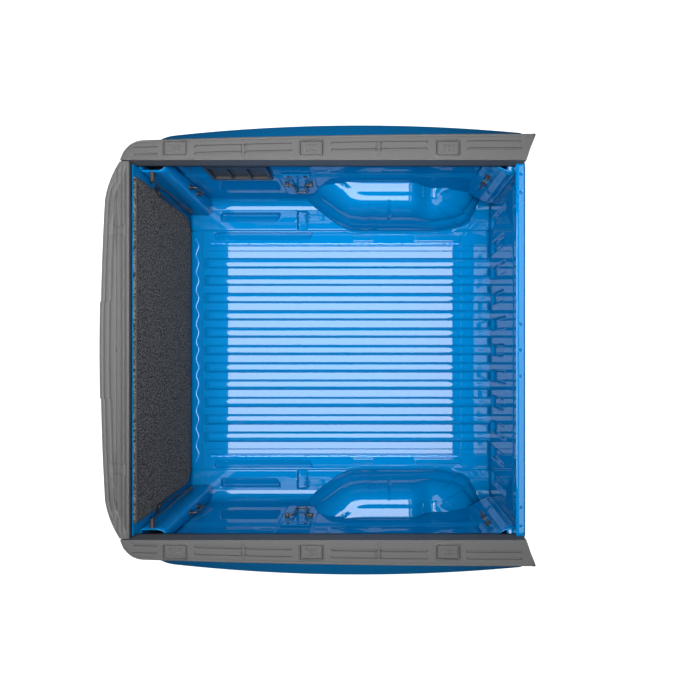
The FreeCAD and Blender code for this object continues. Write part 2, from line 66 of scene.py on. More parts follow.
# Lined pickup cargo box. Metres, +X towards the cab, +Y to the left side.
sheetThickness = 0.002
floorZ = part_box("bed_floor")[0].z + sheetThickness
floorRear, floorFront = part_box("bed_floor")[0].x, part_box("bed_floor")[1].x
capLow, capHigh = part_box("rail_cap_left")
capTop = capHigh.z
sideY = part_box("side_panel_left")[0].y
sides = (("left", 1.0), ("right", -1.0))


def clamp(value, low=0.0, high=1.0):
    return max(low, min(high, value))


def ease(value):
    value = clamp(value)
    return value * value * (3 - 2 * value)


def lerp(a, b, t):
    return a + (b - a) * t


def roundBox(x, y, cx, cy, halfX, halfY, radius):
    # signed distance to a rectangle with round corners, negative inside
    dx, dy = abs(x - cx) - halfX + radius, abs(y - cy) - halfY + radius
    return math.hypot(max(dx, 0), max(dy, 0)) + min(max(dx, dy), 0) - radius


def pressed(x, y, area, radius, wall):
    # 0 outside a pressed area (x0, x1, y0, y1), rising to 1 over its sloped wall
    x0, x1, y0, y1 = area
    away = roundBox(x, y, (x0 + x1) / 2, (y0 + y1) / 2, (x1 - x0) / 2, (y1 - y0) / 2, radius)
    return ease(-away / wall)


def spacing(start, stop, coarse, fine, spots, reach):
    # grid lines that crowd together near the spots
    lines, at = [start], start
    while at < stop - 1e-6:
        near = min([abs(at - s) for s in spots] or [9])
        at += fine if near < reach else min(coarse, max(fine, (near - reach) * 0.5))
        lines.append(min(at, stop))
    return lines


def addObject(name, mesh):
    obj = bpy.data.objects.new(name, mesh)
    bpy.context.scene.collection.objects.link(obj)
    return obj


def markSharp(bm, degrees=34):
    for face in bm.faces:
        face.smooth = True
    limit = math.radians(degrees)
    for edge in bm.edges:
        edge.smooth = not (len(edge.link_faces) == 2 and edge.calc_face_angle(0) > limit)


def finishPiece(obj, slotName, body, nodes=(), material=None):
    obj.data.materials.clear()
    obj.data.materials.append(material or slotMaterials[slotName])
    if nodes:
        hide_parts(*nodes)
    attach(obj, body)
    return obj


def gridMesh(name, rows, facing, wall=0.0, wrap=False, sharp=34):
    # rows of points joined by quads; facing is a direction that most faces look towards
    bm = bmesh.new()
    verts = [[bm.verts.new(p) for p in row] for row in rows]
    columns = len(rows[0])
    for i in range(len(rows) - 1):
        for j in range(columns if wrap else columns - 1):
            k = (j + 1) % columns
            bm.faces.new((verts[i][j], verts[i][k], verts[i + 1][k], verts[i + 1][j]))
    bmesh.ops.remove_doubles(bm, verts=bm.verts, dist=1e-6)
    bmesh.ops.dissolve_degenerate(bm, edges=bm.edges, dist=1e-7)
    bm.normal_update()
    score = sum(f.normal.dot(facing(f.calc_center_median()) if callable(facing) else facing) * f.calc_area()
                for f in bm.faces)
    if score < 0:
        bmesh.ops.reverse_faces(bm, faces=bm.faces)
    markSharp(bm, sharp)
    mesh = bpy.data.meshes.new(name)
    bm.to_mesh(mesh)
    bm.free()
    obj = addObject(name, mesh)
    if wall:
        solid = obj.modifiers.new("wall", "SOLIDIFY")
        solid.thickness = wall
        solid.offset = -1
    return obj


def roundedLine(corners, radii, perCorner=10, perRun=14):
    # open outline with its inner corners rounded, sampled evenly run by run
    corners = [Vector(c) for c in corners]
    points, start = [], corners[0]
    for i in range(1, len(corners) - 1):
        before, after = (corners[i - 1] - corners[i]).normalized(), (corners[i + 1] - corners[i]).normalized()
        reach = radii[i - 1] * 0.8
        a, b = corners[i] + before * reach, corners[i] + after * reach
        points += [start.lerp(a, k / perRun) for k in range(perRun)]
        for k in range(perCorner):
            t = k / perCorner
            points.append(a * (1 - t) ** 2 + corners[i] * 2 * t * (1 - t) + b * t * t)
        start = b
    return points + [start.lerp(corners[-1], k / perRun) for k in range(perRun + 1)]


def tubeMesh(name, path, radius, sides=10, flat=1.0):
    # round bar along a smooth list of points
    rows = []
    for i, point in enumerate(path):
        a, b = path[max(i - 1, 0)], path[min(i + 1, len(path) - 1)]
        along = (b - a).normalized()
        across = along.cross(Vector((0, 0, 1)))
        if across.length < 0.05:
            across = along.cross(Vector((0, 1, 0)))
        across.normalize()
        up = across.cross(along)
        rows.append([point + across * radius * math.cos(math.tau * j / sides)
                     + up * radius * flat * math.sin(math.tau * j / sides) for j in range(sides)])
    rows.insert(0, [path[0]] * sides)
    rows.append([path[-1]] * sides)
    obj = gridMesh(name, rows, Vector((0, 0, 1)), wrap=True, sharp=50)
    bm = bmesh.new()
    bm.from_mesh(obj.data)
    bmesh.ops.recalc_face_normals(bm, faces=bm.faces)
    bm.to_mesh(obj.data)
    bm.free()
    return obj


def roundedBlock(name, size, edge):
    bm = bmesh.new()
    bmesh.ops.create_cube(bm, size=1.0)
    bmesh.ops.scale(bm, vec=size, verts=bm.verts)
    bmesh.ops.bevel(bm, geom=bm.edges[:], offset=edge, segments=3, affect="EDGES", profile=0.5)
    bmesh.ops.recalc_face_normals(bm, faces=bm.faces)
    markSharp(bm, 50)
    mesh = bpy.data.meshes.new(name)
    bm.to_mesh(mesh)
    bm.free()
    return bpy.data.objects.new(name, mesh)


# shader groups
def newGroup(name, inputs, outputs):
    group = bpy.data.node_groups.new(name, "ShaderNodeTree")
    for label, value in inputs:
        socket = group.interface.new_socket(label, in_out="INPUT", socket_type="NodeSocketFloat")
        socket.default_value = value
    for label in outputs:
        group.interface.new_socket(label, in_out="OUTPUT", socket_type="NodeSocketFloat")
    return group, group.nodes.new("NodeGroupInput"), group.nodes.new("NodeGroupOutput")


def addNoise(tree, coordinates, scale, detail=3.0, roughness=0.6):
    node = tree.nodes.new("ShaderNodeTexNoise")
    node.inputs["Detail"].default_value = detail
    node.inputs["Roughness"].default_value = roughness
    tree.links.new(coordinates, node.inputs["Vector"])
    if isinstance(scale, (int, float)):
        node.inputs["Scale"].default_value = scale
    else:
        tree.links.new(scale, node.inputs["Scale"])
    return node.outputs["Fac"]


def addMath(tree, operation, a, b=0.0, c=0.0):
    node = tree.nodes.new("ShaderNodeMath")
    node.operation = operation
    for socket, value in zip(node.inputs, (a, b, c)):
        if isinstance(value, (int, float)):
            socket.default_value = value
        else:
            tree.links.new(value, socket)
    return node.outputs[0]


def makeGrainGroup():
    # moulded or woven surface grain, with a slow stain over it
    inputs = (("Grain Scale", 900.0), ("Grain Amount", 1.0), ("Stain Scale", 6.0), ("Stain Amount", 0.3))
    group, source, sink = newGroup("surfaceGrain", inputs, ("Height", "Stain"))
    coordinates = group.nodes.new("ShaderNodeTexCoord").outputs["Object"]
    grain = addNoise(group, coordinates, source.outputs["Grain Scale"], 2.0, 0.7)
    cells = group.nodes.new("ShaderNodeTexVoronoi")
    group.links.new(coordinates, cells.inputs["Vector"])
    group.links.new(source.outputs["Grain Scale"], cells.inputs["Scale"])
    mixed = addMath(group, "MULTIPLY_ADD", cells.outputs["Distance"], 0.6, grain)
    height = addMath(group, "MULTIPLY", mixed, source.outputs["Grain Amount"])
    stain = addNoise(group, coordinates, source.outputs["Stain Scale"], 4.0, 0.6)
    centred = addMath(group, "SUBTRACT", stain, 0.5)
    scaled = addMath(group, "MULTIPLY", centred, source.outputs["Stain Amount"])
    group.links.new(height, sink.inputs["Height"])
    group.links.new(scaled, sink.inputs["Stain"])
    return group


grainGroup = makeGrainGroup()


def newMaterial(name, settings):
    material = bpy.data.materials.new(name)
    material.use_nodes = True
    shader = material.node_tree.nodes["Principled BSDF"]
    for label, value in settings.items():
        shader.inputs[label].default_value = value
    return material, material.node_tree, shader


def placeGrain(tree, values):
    node = tree.nodes.new("ShaderNodeGroup")
    node.node_tree = grainGroup
    for label, value in values.items():
        node.inputs[label].default_value = value
    return node


def addBump(tree, shader, height, distance, strength=1.0):
    bump = tree.nodes.new("ShaderNodeBump")
    bump.inputs["Distance"].default_value = distance
    bump.inputs["Strength"].default_value = strength
    tree.links.new(height, bump.inputs["Height"])
    tree.links.new(bump.outputs["Normal"], shader.inputs["Normal"])


def tintByStain(tree, shader, stain, dark, light):
    ramp = tree.nodes.new("ShaderNodeMix")
    ramp.data_type = "RGBA"
    ramp.inputs[6].default_value = dark
    ramp.inputs[7].default_value = light
    tree.links.new(addMath(tree, "ADD", stain, 0.5), ramp.inputs[0])
    tree.links.new(ramp.outputs[2], shader.inputs["Base Color"])


def grainyMaterial(name, settings, grain, depth, dark, light, roughSpread=0.0):
    material, tree, shader = newMaterial(name, settings)
    node = placeGrain(tree, grain)
    addBump(tree, shader, node.outputs["Height"], depth)
    tintByStain(tree, shader, node.outputs["Stain"], dark, light)
    if roughSpread:
        rough = addMath(tree, "MULTIPLY_ADD", node.outputs["Stain"], roughSpread, settings["Roughness"])
        tree.links.new(rough, shader.inputs["Roughness"])
    return material


def makePaint():
    # metallic blue under a clear coat, with fine flake
    settings = {"Metallic": 0.10, "Roughness": 0.42, "Specular IOR Level": 0.0, "Coat Weight": 0.85,
                "Coat Roughness": 0.015, "Coat IOR": 1.55}
    material, tree, shader = newMaterial("bluePaint", settings)
    node = placeGrain(tree, {"Grain Scale": 2400.0, "Grain Amount": 1.0, "Stain Scale": 1500.0, "Stain Amount": 0.9})
    tintByStain(tree, shader, node.outputs["Stain"], (0.0, 0.066, 0.190, 1), (0.0, 0.138, 0.355, 1))
    addBump(tree, shader, node.outputs["Height"], 0.00002, 0.6)
    return material


bluePaint = makePaint()
capPlastic = grainyMaterial(
    "capPlastic", {"Roughness": 0.62}, {"Grain Scale": 1100.0, "Stain Scale": 900.0, "Stain Amount": 1.3},
    0.00025, (0.026, 0.026, 0.0265, 1), (0.060, 0.060, 0.061, 1), 0.2)
matFoam = grainyMaterial(
    "matFoam", {"Roughness": 0.95, "Specular IOR Level": 0.15, "Sheen Weight": 0.04},
    {"Grain Scale": 330.0, "Stain Scale": 150.0, "Stain Amount": 7.0},
    0.0024, (0.002, 0.002, 0.002, 1), (0.086, 0.083, 0.082, 1))
matBinding = grainyMaterial(
    "matBinding", {"Roughness": 0.9}, {"Grain Scale": 1500.0, "Stain Amount": 0.6}, 0.0004,
    (0.008, 0.008, 0.009, 1), (0.02, 0.02, 0.022, 1))
blackPlastic = grainyMaterial(
    "blackPlastic", {"Roughness": 0.5}, {"Grain Scale": 1300.0, "Stain Scale": 30.0}, 0.00012,
    (0.012, 0.012, 0.013, 1), (0.03, 0.03, 0.032, 1), 0.2)
blackSteel = grainyMaterial(
    "blackSteel", {"Roughness": 0.35, "Metallic": 0.3, "Coat Weight": 0.3},
    {"Grain Scale": 700.0, "Stain Scale": 60.0}, 0.00004, (0.01, 0.01, 0.012, 1), (0.03, 0.03, 0.034, 1), 0.2)
zincSteel = grainyMaterial(
    "zincSteel", {"Roughness": 0.34, "Metallic": 1.0},
    {"Grain Scale": 500.0, "Stain Scale": 90.0, "Stain Amount": 0.8}, 0.00003,
    (0.38, 0.38, 0.39, 1), (0.62, 0.62, 0.62, 1), 0.25)
# sealer beads are body blue; this lighter, glossier blue is a painted highlight along the beads
seamPaintedHighlight = grainyMaterial(
    "seamSealerPaintedHighlight", {"Roughness": 0.3, "Coat Weight": 1.0, "Metallic": 0.3},
    {"Grain Scale": 260.0, "Stain Scale": 40.0}, 0.0006, (0.0, 0.12, 0.4, 1), (0.01, 0.2, 0.55, 1))
redLens = grainyMaterial(
    "redLens", {"Roughness": 0.06, "Coat Weight": 1.0, "Coat Roughness": 0.01},
    {"Grain Scale": 200.0, "Grain Amount": 0.3, "Stain Scale": 20.0}, 0.0002,
    (0.16, 0.002, 0.003, 1), (0.4, 0.006, 0.008, 1))
print("materials ready")

slotMaterials = {
    "body_paint": bluePaint, "cap_plastic": capPlastic, "mat_carpet": matFoam, "black_plastic": blackPlastic,
    "zinc_steel": zincSteel, "hook_loop": matBinding, "lamp_lens": redLens, "black_steel": blackSteel}


# repeated pieces
def newGeometryTree(name, inputs):
    tree = bpy.data.node_groups.new(name, "GeometryNodeTree")
    for label, kind in (("Geometry", "Geometry"),) + inputs + (("Finish", "Material"),):
        tree.interface.new_socket(label, in_out="INPUT", socket_type="NodeSocket" + kind)
    tree.interface.new_socket("Geometry", in_out="OUTPUT", socket_type="NodeSocketGeometry")
    return tree, tree.nodes.new("NodeGroupInput").outputs


def realizeCopies(tree, source, copies):
    # turn the instances into plain geometry with the chosen material
    nodes, links = tree.nodes, tree.links
    real, paint = nodes.new("GeometryNodeRealizeInstances"), nodes.new("GeometryNodeSetMaterial")
    sink = nodes.new("NodeGroupOutput")
    links.new(copies.outputs["Instances"], real.inputs["Geometry"])
    links.new(real.outputs["Geometry"], paint.inputs["Geometry"])
    links.new(source["Finish"], paint.inputs["Material"])
    links.new(paint.outputs["Geometry"], sink.inputs["Geometry"])
    return tree


def makeRowTree():
    # copies of one piece in a straight row
    tree, source = newGeometryTree("repeatInRow", (("Count", "Int"), ("Start", "Vector"), ("Step", "Vector")))
    nodes, links = tree.nodes, tree.links
    row, copies = nodes.new("GeometryNodeMeshLine"), nodes.new("GeometryNodeInstanceOnPoints")
    for label, socket in (("Count", "Count"), ("Start", "Start Location"), ("Step", "Offset")):
        links.new(source[label], row.inputs[socket])
    links.new(row.outputs["Mesh"], copies.inputs["Points"])
    links.new(source["Geometry"], copies.inputs["Instance"])
    return realizeCopies(tree, source, copies)


def makeScatterTree():
    # one piece at every vertex of a point mesh, turned by its "turn" attribute
    tree, source = newGeometryTree("placeOnPoints", (("Piece", "Object"), ("Size", "Float")))
    nodes, links = tree.nodes, tree.links
    piece, copies = nodes.new("GeometryNodeObjectInfo"), nodes.new("GeometryNodeInstanceOnPoints")
    turn = nodes.new("GeometryNodeInputNamedAttribute")
    turn.data_type = "FLOAT_VECTOR"
    turn.inputs["Name"].default_value = "turn"
    links.new(source["Piece"], piece.inputs["Object"])
    links.new(source["Geometry"], copies.inputs["Points"])
    links.new(piece.outputs["Geometry"], copies.inputs["Instance"])
    links.new(turn.outputs["Attribute"], copies.inputs["Rotation"])
    links.new(source["Size"], copies.inputs["Scale"])
    return realizeCopies(tree, source, copies)


rowTree, scatterTree = makeRowTree(), makeScatterTree()


def applyTree(obj, tree, values):
    modifier = obj.modifiers.new("repeat", "NODES")
    modifier.node_group = tree
    for item in tree.interface.items_tree:
        if item.in_out == "INPUT" and item.name in values:
            modifier[item.identifier] = values[item.name]
    depsgraph = bpy.context.evaluated_depsgraph_get()
    depsgraph.update()
    mesh = bpy.data.meshes.new_from_object(obj.evaluated_get(depsgraph), depsgraph=depsgraph)
    obj.modifiers.clear()
    obj.data = mesh
    return obj


def placeOnPoints(name, pattern, places, size, material):
    # places are (position, rotation) pairs
    mesh = bpy.data.meshes.new(name)
    mesh.from_pydata([p for p, turn in places], [], [])
    attribute = mesh.attributes.new("turn", "FLOAT_VECTOR", "POINT")
    for item, (p, turn) in zip(attribute.data, places):
        item.vector = turn
    return applyTree(addObject(name, mesh), scatterTree, {"Piece": pattern, "Size": size, "Finish": material})


boltPlan = {
    "sides": 24, "flange": ((0.010, 0.0), (0.010, 0.0012), (0.0078, 0.0022)),
    "head": ((0.0068, 0.002), (0.0068, 0.0068), (0.0058, 0.0078))}  # radius, height


def boltPattern():
    # flanged hexagon bolt head along +Z
    p = boltPlan
    count = p["sides"]
    bm = bmesh.new()
    for rings, hexagon in ((p["flange"], False), (p["head"], True)):
        for radius, z in rings:
            for i in range(count):
                angle = math.tau * i / count
                sector = (angle + math.pi / 6) % (math.pi / 3) - math.pi / 6
                reach = radius * (math.cos(math.pi / 6) / math.cos(sector) if hexagon else 1.0)
                bm.verts.new((reach * math.cos(angle), reach * math.sin(angle), z))
    bm.verts.ensure_lookup_table()
    last = len(bm.verts) - count
    for start in range(0, last, count):
        for i in range(count):
            k = (i + 1) % count
            corners = (start + i, start + k, start + count + k, start + count + i)
            bm.faces.new([bm.verts[n] for n in corners])
    bm.faces.new([bm.verts[last + i] for i in range(count)])
    bm.faces.new([bm.verts[count - 1 - i] for i in range(count)])
    bm.normal_update()
    markSharp(bm)
    mesh = bpy.data.meshes.new("boltPattern")
    bm.to_mesh(mesh)
    bm.free()
    return bpy.data.objects.new("boltPattern", mesh)


boltHead = boltPattern()


# load floor
def slopedPocket(x, y, area):
    # recess with a steep wall on its far side and rear, fading out towards its near side
    x0, x1, y0, y1 = area
    far = ease((y1 - y) / 0.007)
    fade = clamp((y - y0) / (y1 - y0) * 1.25)
    ends = ease((x - x0) / 0.008) * ease((x1 - (y1 - y) * 0.4 - x) / 0.010)
    return far * fade * ends if y > y0 else 0.0


floorPlan = {
    "ribCount": 11, "ribPitch": 0.0868, "ribHalfWidth": 0.0275, "ribHeight": 0.010, "ribWall": 0.011,
    "ribRear": -0.634, "ribRamp": 0.030, "sheetHalf": 0.590,
    "edgeLines": (0.4955, 0.520), "lineHalfWidth": 0.0035, "lineHeight": 0.0022, "lineStart": -0.61,
    "rearStep": -0.645, "rearStepHeight": 0.003,
    "edgePocket": (-0.583, -0.085, 0.548, 0.592), "pocketDepth": 0.014,
    "edgeBeads": ((0.113, 0.212, 0.540, 0.571), (0.420, 0.650, 0.540, 0.571)), "beadHeight": 0.004}
sealerPlan = {
    "rearX": -0.668, "rearHalf": 0.560, "rearSteps": 240, "rearRadius": 0.0042, "wave": 0.006,
    "sideY": 0.5325, "sideRun": (-0.600, 0.640), "sideSteps": 260, "sideRadius": 0.0050, "flatness": 0.6}


def makeFloorSheet():
    p = floorPlan
    beads = p["edgeBeads"]
    marks = [p["rearStep"], p["edgePocket"][0], -0.093] + [x for bead in beads for x in bead[:2]]
    xs = spacing(floorRear, floorFront, 0.03, 0.0015, marks, 0.010)
    spots = [s * y for y in p["edgeLines"] + (0.540, 0.552, 0.571, 0.585) for s in (1, -1)]
    ys = spacing(-p["sheetHalf"], p["sheetHalf"], 0.02, 0.0012, spots, 0.008)

    def height(x, y):
        a = abs(y)
        z = -p["rearStepHeight"] * (1 - ease((x - p["rearStep"]) / 0.004))
        for line in p["edgeLines"]:
            ridge = ease((p["lineHalfWidth"] - abs(a - line)) / 0.0025) * ease((x - p["lineStart"]) / 0.01)
            z += p["lineHeight"] * ridge
        z -= p["pocketDepth"] * slopedPocket(x, a, p["edgePocket"])
        for bead in beads:
            z += p["beadHeight"] * pressed(x, a, bead, 0.012, 0.005)
        return floorZ + z
    rows = [[(x, y, height(x, y)) for y in ys] for x in xs]
    sheet = gridMesh("floorSheet", rows, Vector((0, 0, 1)), sheetThickness)
    return finishPiece(sheet, "body_paint", "bed", ["bed_floor"])


def makeFloorRibs():
    p = floorPlan
    half, wall = p["ribHalfWidth"], p["ribWall"]
    xs = spacing(p["ribRear"], floorFront, 0.05, 0.0012, (p["ribRear"], p["ribRear"] + p["ribRamp"]), 0.016)
    ys = sorted(set(round(s * (half - wall * k / 9), 5) for s in (1, -1) for k in range(10)) | {0.0})

    def height(x, y):
        corner = math.hypot(max(abs(y) - half + 0.012, 0), max(p["ribRear"] + 0.012 - x, 0))
        away = (0.012 - corner) if x < p["ribRear"] + 0.012 else half - abs(y)
        side = clamp(min(half - abs(y), away) / wall)
        side = side * side * (3 - 2 * side) * 0.4 + side * 0.6
        ramp = clamp((x - p["ribRear"]) / p["ribRamp"]) ** 0.8
        return floorZ - 0.0004 + p["ribHeight"] * min(side, ramp)
    rows = [[(x, y, height(x, y)) for y in ys] for x in xs]
    ribs = gridMesh("floorRibs", rows, Vector((0, 0, 1)), sharp=60)
    start = -(p["ribCount"] - 1) / 2 * p["ribPitch"]
    applyTree(ribs, rowTree, {"Count": p["ribCount"], "Start": (0, start, 0), "Step": (0, p["ribPitch"], 0),
                              "Finish": bluePaint})
    return finishPiece(ribs, "body_paint", "bed")


def makeSeamSealer():
    # wavy bead of sealer where the floor meets the rear sill
    p = sealerPlan
    path = []
    for i in range(p["rearSteps"] + 1):
        y = lerp(-p["rearHalf"], p["rearHalf"], i / p["rearSteps"])
        shake = 0.0015 * noise.noise(Vector((0, y * 30, 0)))
        wave = p["wave"] * math.cos(math.tau * y / floorPlan["ribPitch"]) + shake
        path.append(Vector((p["rearX"] + wave, y, floorZ - 0.002)))
    bead = tubeMesh("seamSealer", path, p["rearRadius"], 8, p["flatness"])
    # the bead's lighter blue is a painted highlight
    return finishPiece(bead, "body_paint", "bed", material=seamPaintedHighlight)


def makeSideSealer(side, sign):
    # uneven brushed sealer along the seam beside the floor
    p = sealerPlan
    path = []
    for i in range(p["sideSteps"] + 1):
        x = lerp(*p["sideRun"], i / p["sideSteps"])
        shake = 0.0022 * noise.noise(Vector((x * 22, 0, sign)))
        lift = 0.0012 * noise.noise(Vector((x * 60, 1, sign)))
        path.append(Vector((x, sign * (p["sideY"] + shake), floorZ - 0.0022 + lift)))
    bead = tubeMesh("sideSealer" + side.title(), path, p["sideRadius"], 8, p["flatness"])
    # the bead's lighter blue is a painted highlight
    return finishPiece(bead, "body_paint", "bed", material=seamPaintedHighlight)


makeFloorSheet()
makeFloorRibs()
makeSeamSealer()
for side, sign in sides:
    makeSideSealer(side, sign)
print("load floor done")

# wheelhouses
houseShape = {
    "foot": ((-0.118, 0.7406), (0.078, 0.593), (0.605, 0.593), (0.694, 0.647), (0.742, 0.7406)),
    "top": ((0.090, 0.7406), (0.135, 0.690), (0.395, 0.688), (0.500, 0.704), (0.560, 0.7406)),
    "rounding": (0.090, 0.130, 0.080), "height": 0.240, "flare": 0.016, "shoulderStart": 0.24, "shoulder": 0.125,
    "drops": ((0.372, 0.0), (0.488, 0.066), (0.640, 0.082)), "cove": 0.016, "topCentre": 0.33,
    "seamX": 0.288, "slotDepth": 0.007, "foldStarts": (0.105, 0.185), "foldDepth": 0.0022}


def houseDrop(x):
    # the wheelhouse is lower at its front
    drops = houseShape["drops"]
    if x <= drops[0][0]:
        return 0.0
    for (x0, d0), (x1, d1) in zip(drops, drops[1:]):
        if x <= x1:
            return lerp(d0, d1, ease((x - x0) / (x1 - x0)))
    return drops[-1][1]


def makeWheelhouse(side, sign):
    p = houseShape
    foot, top = (roundedLine(p[k], p["rounding"], 12, 60) for k in ("foot", "top"))
    start, wallTop = p["shoulderStart"], p["height"] - p["shoulder"]
    # each profile entry: share of the way from the foot to the top outline, height
    profile = [(-0.14, 0.0), (-0.09, 0.001), (-0.05, 0.004), (-0.015, 0.009), (0.01, p["flare"])]
    profile += [(lerp(0.01, start, (k / 7) ** 1.5), lerp(p["flare"], wallTop, k / 7)) for k in range(1, 8)]
    for k in range(1, 17):
        angle = math.pi / 2 * k / 16
        profile.append((start + (1 - start) * (1 - math.cos(angle)), wallTop + p["shoulder"] * math.sin(angle)))
    rows = [[(a.lerp(b, t), z) for a, b in zip(foot, top)] for t, z in profile]
    last = [point for point, z in rows[-1]]
    for k in range(1, 7):
        t = k / 6
        row = []
        for q in last:
            x = lerp(q.x, lerp(q.x, p["topCentre"], 0.04), t)
            row.append((Vector((x, lerp(q.y, p["foot"][0][1], t))), p["height"]))
        rows.append(row)

    def lift(point, z):
        drop = houseDrop(point.x)
        share = ease(z / p["height"])
        cove = p["cove"] * ease((point.y - 0.700) / 0.045) if z >= p["height"] - 0.0001 else 0.0
        return floorZ + z - drop * share + cove

    def seam(point, z):
        # shallow upright slot, and two faint folds, in the wall that faces the floor
        slotArea = (p["seamX"] - 0.008, p["seamX"] + 0.008, 0.090, 0.232)
        slot = p["slotDepth"] * pressed(point.x, z, slotArea, 0.004, 0.005)
        folds = sum(p["foldDepth"] * ease((point.x - x) / 0.010) * ease((x + 0.055 - point.x) / 0.010)
                    for x in p["foldStarts"])
        return slot + folds * ease(z / 0.05) * ease((0.235 - z) / 0.05) if z < 0.236 else 0.0
    points = [[(q.x, min(q.y + seam(q, z), 0.7408) * sign, lift(q, z)) for q, z in row] for row in rows]
    facing = Vector((0, -sign * 0.5, 1))
    house = gridMesh("wheelhouse" + side.title(), points, facing, sheetThickness, sharp=50)
    return finishPiece(house, "body_paint", "bed", ["wheelhouse_" + side])


def footX(y, front):
    f = houseShape["foot"]
    if front:
        a, b = (f[4], f[3]) if y > f[3][1] else (f[3], f[2])
    else:
        a, b = f[0], f[1]
    return lerp(b[0], a[0], (y - b[1]) / (a[1] - b[1]))


shelfPlan = {
    "rise": 0.008, "cove": 0.050, "inner": 0.5905, "rearEnd": 0.07,
    "pockets": ((-0.548, -0.246, 0.638, 0.686), (-0.168, -0.114, 0.596, 0.697)), "pocketDepth": 0.024,
    "pad": (0.650, 0.790, 0.600, 0.640), "padDepth": 0.004,
    "crossSpots": (0.594, 0.600, 0.606, 0.638, 0.678, 0.686, 0.692, 0.697),
    "longSpots": (-0.548, -0.254, -0.168, -0.114)}


def shelfHeight(x, y):
    p = shelfPlan
    long, square = p["pockets"]
    z = p["rise"] * ease((y - 0.592) / 0.010)
    z -= p["pocketDepth"] * max(slopedPocket(x, y, long), 0.8 * pressed(x, y, square, 0.012, 0.007))
    z -= p["padDepth"] * pressed(x, y, p["pad"], 0.01, 0.005)
    up = clamp((y - (sideY - p["cove"])) / p["cove"])
    return floorZ + z + p["cove"] * (1 - math.sqrt(1 - min(up, 0.999) ** 2))


def makeShelf(side, sign, front):
    p = shelfPlan
    ys = spacing(p["inner"], 0.702, 0.012, 0.0018, p["crossSpots"], 0.009)
    ys += [sideY - p["cove"] * (1 - math.sin(math.pi / 2 * k / 16)) for k in range(3, 17)]
    shares = spacing(0.0, 1.0, 0.1, 0.03, (), 0.0)
    if not front:
        lines = spacing(floorRear, p["rearEnd"], 0.02, 0.0022, p["longSpots"], 0.013)
        shares = [(x - floorRear) / (p["rearEnd"] - floorRear) for x in lines]
    rows = []
    for share in shares:
        row = []
        for y in ys:
            x0, x1 = (footX(y, True) - 0.004, floorFront) if front else (floorRear, footX(y, False) + 0.012)
            x = lerp(x0, x1, share)
            row.append((x, y * sign, shelfHeight(x, y)))
        rows.append(row)
    name = ("frontShelf" if front else "rearShelf") + side.title()
    shelf = gridMesh(name, rows, Vector((0, 0, 1)), sheetThickness)
    return finishPiece(shelf, "body_paint", "bed", ["side_shelf_" + side])


for side, sign in sides:
    makeWheelhouse(side, sign)
    makeShelf(side, sign, False)
    makeShelf(side, sign, True)
print("wheelhouses and shelves done")

# upright panels
wallPlan = {
    "rear": -0.600, "top": capTop - 0.060, "swage": (0.300, 0.455), "swageDepth": 0.008,
    "padCentres": (-0.36, 0.10, 0.33, 0.55), "padHalf": 0.075, "padDepth": 0.005,
    "box": (-0.195, -0.035, 0.10, 0.43), "boxDepth": 0.006,
    "spots": (-0.195, -0.03, -0.118, 0.0, 0.22, 0.43, 0.600, 0.742)}


def wallBottom(x):
    # the side wall is cut away over the wheelhouse
    if x < 0.09:
        top = houseShape["height"] * clamp((x + 0.118) / 0.208) ** 0.75
    else:
        top = (houseShape["height"] - houseDrop(x)) * clamp((0.742 - x) / 0.182) ** 0.6
    return floorZ + max(shelfPlan["cove"] - 0.004, top - 0.012)


def makeSideWall(side, sign):
    p = wallPlan
    xs = spacing(p["rear"], floorFront, 0.02, 0.003, p["spots"], 0.012)
    rows = []
    for x in xs:
        low = wallBottom(x)
        row = []
        for k in range(61):
            z = lerp(low, p["top"], k / 60)
            up = z - floorZ
            out = p["swageDepth"] * ease((up - p["swage"][0]) / 0.03) * ease((p["swage"][1] - up) / 0.02)
            for centre in p["padCentres"]:
                area = (centre - p["padHalf"], centre + p["padHalf"], 0.345, 0.435)
                out -= p["padDepth"] * pressed(x, up, area, 0.02, 0.01)
            out -= p["boxDepth"] * pressed(x, up, p["box"], 0.015, 0.008)
            row.append((x, (sideY + out * 0.6) * sign, z))
        rows.append(row)
    wall = gridMesh("sideWall" + side.title(), rows, Vector((0, -sign, 0)), sheetThickness)
    return finishPiece(wall, "body_paint", "bed", ["side_panel_" + side])


frontWallPlan = {
    "count": 11, "pitch": 0.124, "depth": 0.013, "half": 0.032, "beadTop": 0.262, "stagger": 0.03,
    "step": (0.350, 0.455), "stepDepth": 0.010, "heights": (0.0, 0.03, 0.25, 0.27, 0.345, 0.40)}


def makeFrontWall():
    low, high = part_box("front_panel")
    face, p = low.x, frontWallPlan
    centres = [(i - (p["count"] - 1) / 2) * p["pitch"] for i in range(p["count"])]
    ys = spacing(low.y, high.y, 0.02, 0.002, [y + d for y in centres for d in (-0.026, 0.026)], 0.009)
    zs = spacing(low.z, high.z, 0.02, 0.003, [floorZ + v for v in p["heights"]], 0.015)

    def bulge(y, z):
        up = z - floorZ
        depth = 0.0
        for i, y0 in enumerate(centres):
            top = p["beadTop"] - p["stagger"] * (i % 2)
            depth += p["depth"] * pressed(y, up, (y0 - p["half"], y0 + p["half"], 0.028, top), 0.02, 0.014)
        low, high = p["step"]
        return depth + p["stepDepth"] * ease((up - low) / 0.014) * ease((high - up) / 0.014)
    rows = [[(face + bulge(y, z), y, z) for y in ys] for z in zs]
    wall = gridMesh("frontWall", rows, Vector((-1, 0, 0)), sheetThickness)
    return finishPiece(wall, "body_paint", "bed", ["front_panel"])


headerPlan = {
    "rear": 0.7575, "roll": 0.785, "rollRadius": 0.008, "rollAngle": 72, "half": 0.7115,
    "top": capTop - 0.0262, "bottom": capTop - 0.0452,
    "holeX": 0.775, "holes": (0.100, 0.603, 0.673), "holeRadius": 0.0042, "holeDepth": 0.009}


